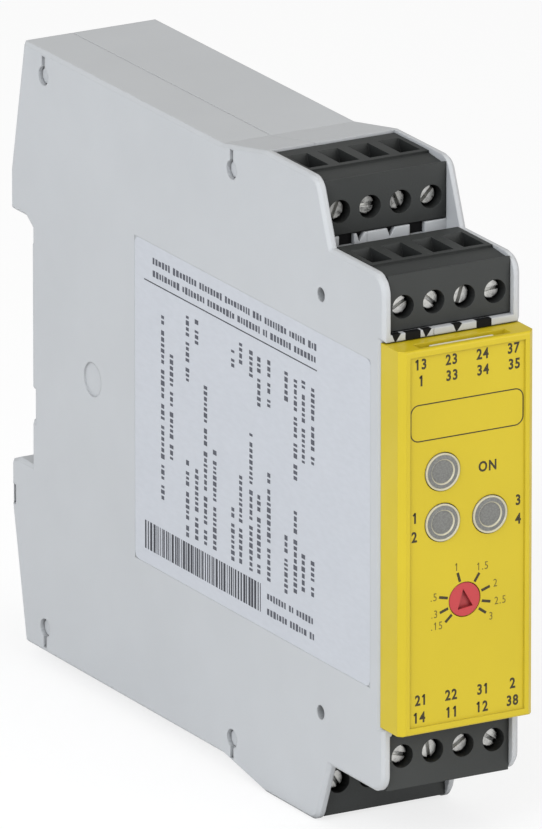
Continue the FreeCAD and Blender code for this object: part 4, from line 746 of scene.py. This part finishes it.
@dataclass
class LabelPrint:
    """The rating label's print: bars, a rule and rows of small blocks where the photograph has text."""

    face: float = -11.23 * MM
    thickness: float = 0.1 * MM
    outline: tuple[float, ...] = (30.96 * MM, 99.54 * MM, -23.44 * MM, 25.44 * MM, 1.14 * MM)
    film: float = 0.012 * MM
    seat: float = 6.2 * MM
    letter: float = 0.66 * MM
    letter_gap: float = 0.3 * MM
    word_gap: float = 0.95 * MM
    letter_height: float = 1.15 * MM
    heights: tuple[float, float] = (0.34, 0.48)
    bar_ends: tuple[float, float] = (40.1 * MM, 74.2 * MM)
    bar_middle: float = -19.05 * MM
    bar_half: float = 2.15 * MM
    seed: int = 11
    columns: tuple[tuple[float, float, float], ...] = (
        (45.4, -12.4, 16.0), (48.0, -5.6, 10.7), (52.7, -16.0, -3.5), (52.7, 7.6, 17.8),
        (55.4, -15.7, -3.5), (55.4, 13.9, 17.8), (58.0, -15.7, 8.6), (60.7, -15.7, 0.2),
        (66.0, -15.8, -6.9), (66.0, 13.4, 16.9), (68.3, -15.6, -1.4), (68.3, 14.5, 18.0),
        (71.3, -15.8, 5.5), (71.3, 13.4, 17.6), (73.6, -15.6, -3.0), (73.6, 9.6, 17.8),
        (76.5, -15.9, 1.2), (76.5, 10.3, 17.9), (81.5, -16.3, -6.4), (81.5, 12.6, 17.5),
        (84.2, -15.5, -2.3), (84.2, 1.5, 17.0), (86.5, -14.6, -8.5), (86.5, 4.7, 17.6),
        (89.2, -14.6, -8.5), (89.2, 5.2, 17.5),
    )
    levels: tuple[tuple[float, float, float], ...] = (
        (21.1, 42.5, 90.4), (23.0, 42.5, 90.4), (-18.3, 76.0, 90.0), (-20.6, 76.0, 90.0),
    )

    def place(self, name: str, centres: np.ndarray, halves: np.ndarray, ink: Material) -> None:
        """Makes one printed piece of flat bars on the label, where Y is minus the depth from the rail seat."""
        corners, faces = plates(centres, halves)
        points = np.stack([self.face - corners[:, 2] * self.film, -(corners[:, 0] - self.seat), corners[:, 1]],
                          axis=-1)
        surface(name, points, faces, "housing", [ink])

    def letters(self, low: float, high: float, chance: np.random.Generator) -> Shape:
        """Places of the small blocks along one row.

        Args:
            low: Where the row starts, in metres.
            high: Where the row ends.
            chance: The seeded source of word and letter lengths.

        Returns:
            Middles and half lengths of the blocks: words of 2 to 9 blocks with a gap between them.
        """
        middles, halves = [], []
        at, left = low, int(chance.integers(2, 10))
        while at < high - self.letter:
            length = self.letter * chance.uniform(0.55, 1.15)
            middles.append(at + length / 2)
            halves.append(length / 2)
            left -= 1
            at += length + (self.letter_gap if left > 0 else self.word_gap)
            left = left if left > 0 else int(chance.integers(2, 10))
        return np.array(middles), np.array(halves)

    def rows(self, name: str, lines: Sequence[tuple[float, float, float]], shift: int, axes: list[int],
             ink: Material) -> None:
        """Fills rows with blocks that are as wide as the row's letters are high.

        Args:
            name: The printed piece's name.
            lines: The place of each row, its start and its end, in millimetres.
            shift: What the seed is raised by.
            axes: [0, 1] for upright rows and [1, 0] for rows along the depth.
            ink: The ink's material.
        """
        chance = np.random.default_rng(self.seed + shift)
        centres, halves = [], []
        for place, low, high in lines:
            middles, lengths = self.letters(low * MM, high * MM, chance)
            tall = self.letter_height * chance.uniform(*self.heights, len(middles))
            centres.append(np.column_stack([np.full(len(middles), place * MM), middles])[:, axes])
            halves.append(np.column_stack([tall, lengths])[:, axes])
        self.place(name, np.concatenate(centres), np.concatenate(halves), ink)

    def bars(self, ink: Material) -> None:
        """Draws the field of bars: uneven widths and gaps along the depth, all of one height."""
        chance = np.random.default_rng(self.seed + 1)
        widths = chance.choice([0.2, 0.3, 0.42, 0.6], 60) * MM
        gaps = chance.choice([0.2, 0.28, 0.4], 60) * MM
        starts = self.bar_ends[0] + np.concatenate([[0.0], np.cumsum(widths + gaps)[:-1]])
        keep = starts < self.bar_ends[1]
        centres = np.column_stack([starts[keep] + widths[keep] / 2, np.full(keep.sum(), self.bar_middle)])
        halves = np.column_stack([widths[keep] / 2, np.full(keep.sum(), self.bar_half)])
        self.place("print_label_bars", centres, halves, ink)

    def sticker(self) -> None:
        """Makes the sticker's sheet in place of its solid, filling its recess in the side wall."""
        points, faces = sheet(rounded_path(*self.outline))
        points[:, 2] = points[:, 2] * self.thickness - self.thickness
        points = np.stack([self.face - points[:, 2], -points[:, 0], points[:, 1]], axis=-1)
        piece = surface("rating_sticker", points, faces, "housing", [LABEL.build()])
        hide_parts("rating_label")

    def build(self) -> None:
        """Makes the label and all of its print, with a rule under its upper rows."""
        self.sticker()
        ink, row_ink = LABEL_INK.build(), ROW_INK.build()
        self.rows("print_label_rows", self.columns, 0, [0, 1], row_ink)
        self.rows("print_label_levels", self.levels, 2, [1, 0], row_ink)
        self.bars(ink)
        self.place("print_label_rule", np.array([[65.2, 19.6]]) * MM, np.array([[25.2, 0.09]]) * MM, ink)


@dataclass
class LightGuide:
    """The clear moulding in full: three lenses with pale rims and a painted highlight ring on each eye's shoulder, on
    square pipes, and their web.
    """

    panel_depth: float = 107.5 * MM
    back_depth: float = 106.5 * MM
    pipe_ends: tuple[float, float] = (98.5 * MM, 107.0 * MM)
    web_ends: tuple[float, float] = (99.9 * MM, 100.9 * MM)
    pipe_half: float = 1.7 * MM
    rim_radius: float = 2.79 * MM
    cap_radius: float = 2.5 * MM
    eye_radius: float = 1.82 * MM
    dip: float = -0.07 * MM
    places: tuple[tuple[float, float], ...] = ((-4.0, 9.95), (-4.0, 2.4), (3.76, 2.4))
    web: tuple[tuple[float, float, float, float], ...] = (
        (-4.0, 6.175, 2.5, 6.275), (0.68, 2.4, 2.18, 2.5),
    )
    ring_rows: int = 11
    shoulder_highlight_rows: tuple[int, int] = (18, 22)
    steps: int = 80

    def profile(self) -> np.ndarray:
        """A lens's half section: a flat back, a rounded rim, a sloping border and a sunk eye with soft shoulders."""
        turn = np.linspace(0.0, np.pi, 9)
        half = (self.rim_radius - self.cap_radius) / 2
        rim = np.column_stack([self.cap_radius + half + half * np.cos(turn), 0.14 * MM + 0.12 * MM * np.sin(turn)])
        share = np.linspace(0.0, 1.0, 7)
        border = np.column_stack([self.cap_radius * (0.99 - 0.2 * share), (0.12 + 0.08 * share) * MM])
        shoulder = np.column_stack([self.eye_radius + 0.08 * MM - 0.2 * MM * share,
                                    (0.2 - 0.26 * share ** 1.5) * MM])
        eye_r = (self.eye_radius - 0.12 * MM) * np.linspace(0.93, 0.0, 9)
        eye_t = self.dip + 0.1 * MM * (1.0 - (eye_r / self.eye_radius) ** 2)
        drop = self.back_depth - self.panel_depth
        back = np.array([[0.0, drop], [self.rim_radius, drop]])
        return np.concatenate([back, rim, border, shoulder, np.column_stack([eye_r, eye_t])])

    def boxes(self, centres: np.ndarray, halves: np.ndarray, ends: tuple[float, float]) -> Shape:
        """Boxes between two depths."""
        corners, faces = plates(centres, halves)
        return facing(corners, ends[0], ends[1] - ends[0]), faces

    def build(self) -> None:
        """Makes the moulding as one piece in place of its solid, lens faces and clear parts in their finishes."""
        profile = self.profile()
        middles = np.array(self.places) * MM
        web = np.array(self.web) * MM
        lenses = [turned_shape(profile, (across, -self.panel_depth, up), self.steps) for across, up in middles]
        pipes = self.boxes(middles, np.full((len(middles), 2), self.pipe_half), self.pipe_ends)
        points, faces = joined([*lenses, pipes, self.boxes(web[:, :2], web[:, 2:], self.web_ends)])
        rows = np.repeat(np.arange(len(profile) - 1), self.steps)
        # The rim and the eye's shoulder take the pale ring material; on the shoulder it is a painted highlight ring.
        first, last = self.shoulder_highlight_rows
        grey = (rows >= self.ring_rows) & ~((rows >= first) & (rows <= last))
        turned = len(rows) * len(lenses)
        slots = np.zeros(len(faces), int)
        slots[:turned] = np.tile(grey.astype(int), len(lenses))
        piece = surface("light_guide_lenses", points, faces, "housing", [LENS_RING.build(), LENS.build()], slots)
        rounded = np.arange(len(faces)) < turned
        rounded[:turned] &= np.tile(rows >= 2, len(lenses))
        piece.data.polygons.foreach_set("use_smooth", rounded)
        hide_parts("light_guide")


@dataclass
class LatchSpring:
    """The latch's coil spring with closed end turns, which presses together as the latch is pulled down."""

    middle: tuple[float, float] = (0.0, 2.85 * MM)
    low: float = -37.08 * MM
    rise: float = 9.76 * MM
    coil_radius: float = 1.1 * MM
    wire_radius: float = 0.2 * MM
    turns: float = 6.0
    stroke: float = 3.0 * MM
    steps: int = 24
    sides: int = 12

    def build(self) -> None:
        """Makes the coil in place of its solid.

        The wire's middle stands at (R cos a, R sin a, h), where h rises by little more than the wire in
        the first and the last turn and evenly between them. Its section is a circle of the outward
        direction and the one across it and the wire; rows of radius 0 close both ends.
        """
        turn = np.linspace(0.0, self.turns, round(self.turns * self.steps) + 1)
        closed = 2.1 * self.wire_radius
        rise = np.interp(turn, [0.0, 1.0, self.turns - 1.0, self.turns], [0.0, closed, self.rise - closed, self.rise])
        angle = 2 * np.pi * turn
        outward = np.stack([np.cos(angle), np.sin(angle), np.zeros(len(turn))], axis=-1)
        line = outward * self.coil_radius + rise[:, None] * [0.0, 0.0, 1.0]
        ahead = np.gradient(line, axis=0)
        across = np.cross(outward, ahead / np.linalg.norm(ahead, axis=1, keepdims=True))
        side = np.linspace(0.0, 2 * np.pi, self.sides, endpoint=False)[None, :, None]
        wire = np.full((len(turn), 1, 1), self.wire_radius)
        ends = np.concatenate([[0], np.arange(len(turn)), [len(turn) - 1]])
        wire = wire[ends]
        wire[[0, -1]] = 0.0
        points = line[ends, None] + wire * (np.cos(side) * outward[ends, None] + np.sin(side) * across[ends, None])
        points = points.reshape(-1, 3) + [*self.middle, self.low]
        piece = surface("latch_spring_coil", points, grid_faces(len(ends), self.sides, True), "housing",
                        [SPRING.build()], smooth=True)
        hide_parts("latch_spring")
        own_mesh(piece)


@dataclass
class SillGapShade:
    """Painted shade in the sills beside the terminal blocks: dark blocks fill the V notches between the poles and two
    windows.
    """

    teeth: tuple[float, ...] = (-9.1, -4.1, 0.9)
    windows: tuple[float, ...] = (-6.4, 5.2)
    tooth_halves: tuple[float, float] = (0.72, 0.1)
    tip_shift: float = -0.18
    window_half: float = 1.23
    levels: tuple[tuple[float, float, float, float, float], ...] = (
        (39.1, 1.56, 1.72, 83.31, 83.4), (29.97, 1.05, 1.08, 102.33, 103.22),
    )

    def outlines(self, floor: float, tooth_drop: float, window_drop: float, sign: int) -> np.ndarray:
        """Corners of one sill's openings, from its floor to their drop, walked anticlockwise on either side.

        Args:
            floor: Height of the sill's edge, in millimetres.
            tooth_drop: How far the notches reach below it.
            window_drop: How far the windows reach below it.
            sign: 1 for the upper stairs, -1 for the lower.

        Returns:
            Four corners of across and up for each opening, in metres.
        """
        wide, narrow = self.tooth_halves
        half, shift = self.window_half, self.tip_shift
        rows = [(x + shift - narrow, x + shift + narrow, x + wide, x - wide, tooth_drop) for x in self.teeth]
        rows += [(x - half, x + half, x + half, x - half, window_drop) for x in self.windows]
        loops = []
        for a, b, c, d, drop in rows:
            corners = [(a, floor - drop), (b, floor - drop), (c, floor), (d, floor)]
            loops.append(corners if sign > 0 else [(x, -z) for x, z in reversed(corners)])
        return np.array(loops) * MM

    def build(self) -> None:
        """Fills every opening with a dark block of painted shade, in the mouth of its cut or on the sill's band."""
        shapes = []
        for floor, tooth_drop, window_drop, back, front in self.levels:
            for sign in (1, -1):
                corners, faces = prisms(self.outlines(floor, tooth_drop, window_drop, sign))
                shapes.append((facing(corners, back * MM, (front - back) * MM), faces))
        points, faces = joined(shapes)
        surface("sill_gap_shade", points, faces, "housing", [GAP_SHADE.build()])


@dataclass
class TerminalScrew:
    """One slotted terminal screw with a broken head edge and a turned face."""

    node: str
    centre: tuple[float, float, float]
    turn: float
    head_radius: float = 1.45 * MM
    head_length: float = 1.8 * MM
    slot_half: float = 0.26 * MM
    slot_depth: float = 0.72 * MM
    edge: float = 0.16 * MM
    shank_radius: float = 1.02 * MM
    shank_length: float = 5.2 * MM
    rows: int = 15

    def head(self) -> Shape:
        """Works out the head with its slot.

        Returns:
            Points and faces. Columns stand across the slot at x, with doubled columns at its two walls.
            Along a column y runs from -1 to 1 times the chord sqrt(R^2 - x^2). The face is flat, its rim
            falls by the edge size, then the wall runs back to the head's seat.
        """
        inner = self.head_radius - self.edge
        outside = np.linspace(self.slot_half + 0.05 * MM, inner * 0.999, 7)
        half = np.concatenate([[self.slot_half] * 2, outside])
        depth = np.concatenate([[self.slot_depth, 0.03 * MM], np.zeros(len(outside))])
        columns, sunk = np.concatenate([-half[::-1], half]), np.concatenate([depth[::-1], depth])
        chord = np.sqrt(np.maximum(inner ** 2 - columns ** 2, 0.0))
        along = chord[:, None] * np.linspace(-1.0, 1.0, self.rows)[None]
        level = np.ones(self.rows)
        top = np.stack([np.outer(columns, level), along, np.outer(-sunk, level)], axis=-1)
        scale = self.head_radius / inner
        falls = np.full(len(columns), -self.head_length), np.minimum(-sunk, -self.edge)
        low, high = ([np.stack([columns * scale, along[:, end] * scale, fall], axis=-1)[:, None] for fall in falls]
                     for end in (0, -1))
        grid = np.concatenate([*low, top, *high[::-1]], axis=1)
        return grid.reshape(-1, 3), grid_faces(grid.shape[0], grid.shape[1], False)

    def shank(self) -> Shape:
        """Works out the shank and the head's seat as one turned shape."""
        seat, tip = -self.head_length, -self.head_length - self.shank_length
        profile = np.array([[0.0, tip], [self.shank_radius * 0.7, tip], [self.shank_radius, tip + 0.3 * MM],
                            [self.shank_radius, seat], [self.head_radius, seat],
                            [self.head_radius, seat + 0.01 * MM], [0.0, seat + 0.01 * MM]])
        return turned_shape(profile, self.centre, 40)

    def build(self, body: str) -> None:
        """Makes the screw in place of its solid.

        Args:
            body: The body that turns with the screw.
        """
        points, faces = self.head()
        cosine, sine = math.cos(self.turn), math.sin(self.turn)
        placed = np.stack([points[:, 0] * cosine + points[:, 1] * sine, -points[:, 2],
                           -points[:, 0] * sine + points[:, 1] * cosine], axis=-1) + np.array(self.centre)
        all_points, all_faces = joined([(placed, faces), self.shank()])
        finish = TurnedFinish(self.node + "_steel", SCREW_COLOUR, self.centre)
        piece = surface(self.node + "_turned", all_points, all_faces, body, [finish.build()])
        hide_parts(self.node)


@dataclass
class ScrewSet:
    """All sixteen terminal screws."""

    pitch: float = 5.0 * MM
    recess: float = 1.4 * MM
    height: float = 3.4 * MM
    blocks: tuple[tuple[str, Level, int], ...] = (
        ("upper_rear", Level.REAR, 1), ("upper_front", Level.FRONT, 1),
        ("lower_front", Level.FRONT, -1), ("lower_rear", Level.REAR, -1),
    )

    def build(self) -> int:
        """Makes the screws at the angles of their solids' slots.

        Returns:
            How many screws were made.
        """
        count = 0
        for number, (name, level, sign) in enumerate(self.blocks):
            face, floor = level.value
            for pole in range(4):
                node = "screw_%s_%d" % (name, pole + 1)
                centre = ((pole - 1.5) * self.pitch, -(face - self.recess), sign * (floor + self.height))
                turn = math.radians((23 + 67 * pole + 41 * number) % 180)
                TerminalScrew(node, centre, turn).build(node)
                count += 1
        return count


@dataclass
class Studio:
    """A pale floor, soft lamps and the camera at the photograph's angle."""

    target: tuple[float, float, float] = (0.00025, -0.05064, 0.0019)
    distance: float = 3.0
    seen_height: float = 0.1195
    azimuth: float = -29.5
    elevation: float = 17.8
    floor_height: float = -0.04825
    floor_half: float = 6.0
    surround: tuple[tuple[Colour, float], ...] = (((0.99, 0.99, 1.0), 0.42), (WHITE, 1.0))
    # Each lamp's name, its azimuth, elevation and distance, its width in metres, its watts and its colour.
    lamps: tuple[tuple[str, Colour, float, float, Colour], ...] = (
        ("key", (-62.0, 30.0, 1.2), 0.9, 9.6, (0.91, 0.95, 1.0)),
        ("front_fill", (24.0, 18.0, 1.3), 0.9, 5.9, WHITE),
        ("top", (-20.0, 80.0, 1.2), 1.0, 3.1, (1.0, 0.95, 0.84)),
    )

    def aim(self, holder: bpy.types.Object, azimuth: float, elevation: float, distance: float) -> None:
        """Stands a camera or a lamp off the target and turns it to look there.

        Args:
            holder: The camera or lamp.
            azimuth: Degrees round from the front, a.
            elevation: Degrees above the floor, e.
            distance: Metres from the target, along (sin a cos e, -cos a cos e, sin e).
        """
        turn, rise = math.radians(azimuth), math.radians(elevation)
        away = np.array([math.sin(turn) * math.cos(rise), -math.cos(turn) * math.cos(rise), math.sin(rise)])
        holder.location = np.array(self.target) + distance * away
        holder.rotation_euler = (math.pi / 2 - rise, 0.0, turn)

    def camera(self) -> None:
        """Places the camera, with a lens that sees the wanted height at its distance."""
        data = bpy.data.cameras.new("camera")
        data.sensor_width = 36.0
        data.lens = data.sensor_width * self.distance / self.seen_height
        data.clip_end = 50.0
        camera = shown("camera", data)
        self.aim(camera, self.azimuth, self.elevation, self.distance)
        bpy.context.scene.camera = camera

    def light(self) -> None:
        """Adds the square area lamps, which look at the target."""
        for name, place, size, power, colour in self.lamps:
            data = bpy.data.lights.new(name, "AREA")
            data.size = size
            data.energy = power
            data.color = colour
            self.aim(shown(name, data), *place)

    def floor(self) -> None:
        """Lays a wide floor, white to the eye and pale to the light, so that it keeps the shadow."""
        side = np.array([[-1, -1], [1, -1], [1, 1], [-1, 1]], float) * self.floor_half
        graph = NodeGraph("floor_white")
        graph.set(Base_Color=(0.86, 0.86, 0.86, 1.0), Roughness=0.9, Specular_IOR_Level=0.1)
        glow = graph.add("ShaderNodeEmission", Strength=1.09)
        paths = graph.add("ShaderNodeLightPath")
        seen, share = graph.add("ShaderNodeMath"), graph.add("ShaderNodeMath")
        seen.operation, share.operation = "MAXIMUM", "MULTIPLY"
        share.inputs[1].default_value = 0.7
        mixer = graph.add("ShaderNodeMixShader")
        for source, target in ((paths.outputs["Is Camera Ray"], seen.inputs[0]),
                               (paths.outputs["Is Glossy Ray"], seen.inputs[1]),
                               (seen.outputs[0], share.inputs[0]), (share.outputs[0], mixer.inputs[0]),
                               (graph.shader.outputs[0], mixer.inputs[1]), (glow.outputs[0], mixer.inputs[2]),
                               (mixer.outputs[0], graph.output.inputs["Surface"])):
            graph.join(source, target)
        points = np.column_stack([side, np.full(4, self.floor_height)])
        floor = shown("floor", plain_mesh("floor", points, [(0, 1, 2, 3)], [graph.material]))

    def sky(self) -> None:
        """Sets an even surround: soft light on the object, white where the camera looks past it."""
        world = bpy.data.worlds.new("surround")
        bpy.context.scene.world = world
        world.use_nodes = True
        tree = world.node_tree
        tree.nodes.clear()
        mixer = tree.nodes.new("ShaderNodeMixShader")
        tree.links.new(tree.nodes.new("ShaderNodeLightPath").outputs["Is Camera Ray"], mixer.inputs[0])
        for number, (colour, strength) in enumerate(self.surround, start=1):
            light = tree.nodes.new("ShaderNodeBackground")
            light.inputs["Color"].default_value = (*colour, 1.0)
            light.inputs["Strength"].default_value = strength
            tree.links.new(light.outputs[0], mixer.inputs[number])
        tree.links.new(mixer.outputs[0], tree.nodes.new("ShaderNodeOutputWorld").inputs["Surface"])

    def build(self) -> None:
        """Sets up the whole studio."""
        bpy.context.scene.view_settings.view_transform = "Standard"
        self.camera()
        self.floor()
        self.sky()
        self.light()


def main() -> None:
    """Builds the studio, the finishes and the pieces in order, and reports each."""
    logging.basicConfig(level=logging.INFO, format="%(message)s")
    Studio().build()
    LOG.info("studio set")
    LOG.info("solids dressed: %d", CadDress().dress())
    steps: tuple[tuple[str, Callable[[], object]], ...] = (
        ("front print", FrontPrint().build),
        ("label print", LabelPrint().build),
        ("light guide", LightGuide().build),
        ("sill gaps", SillGapShade().build),
        ("latch spring", LatchSpring().build),
        ("screws", ScrewSet().build),
    )
    for name, build in steps:
        build()
        LOG.info("made: %s", name)


if __name__ == "__main__":
    main()
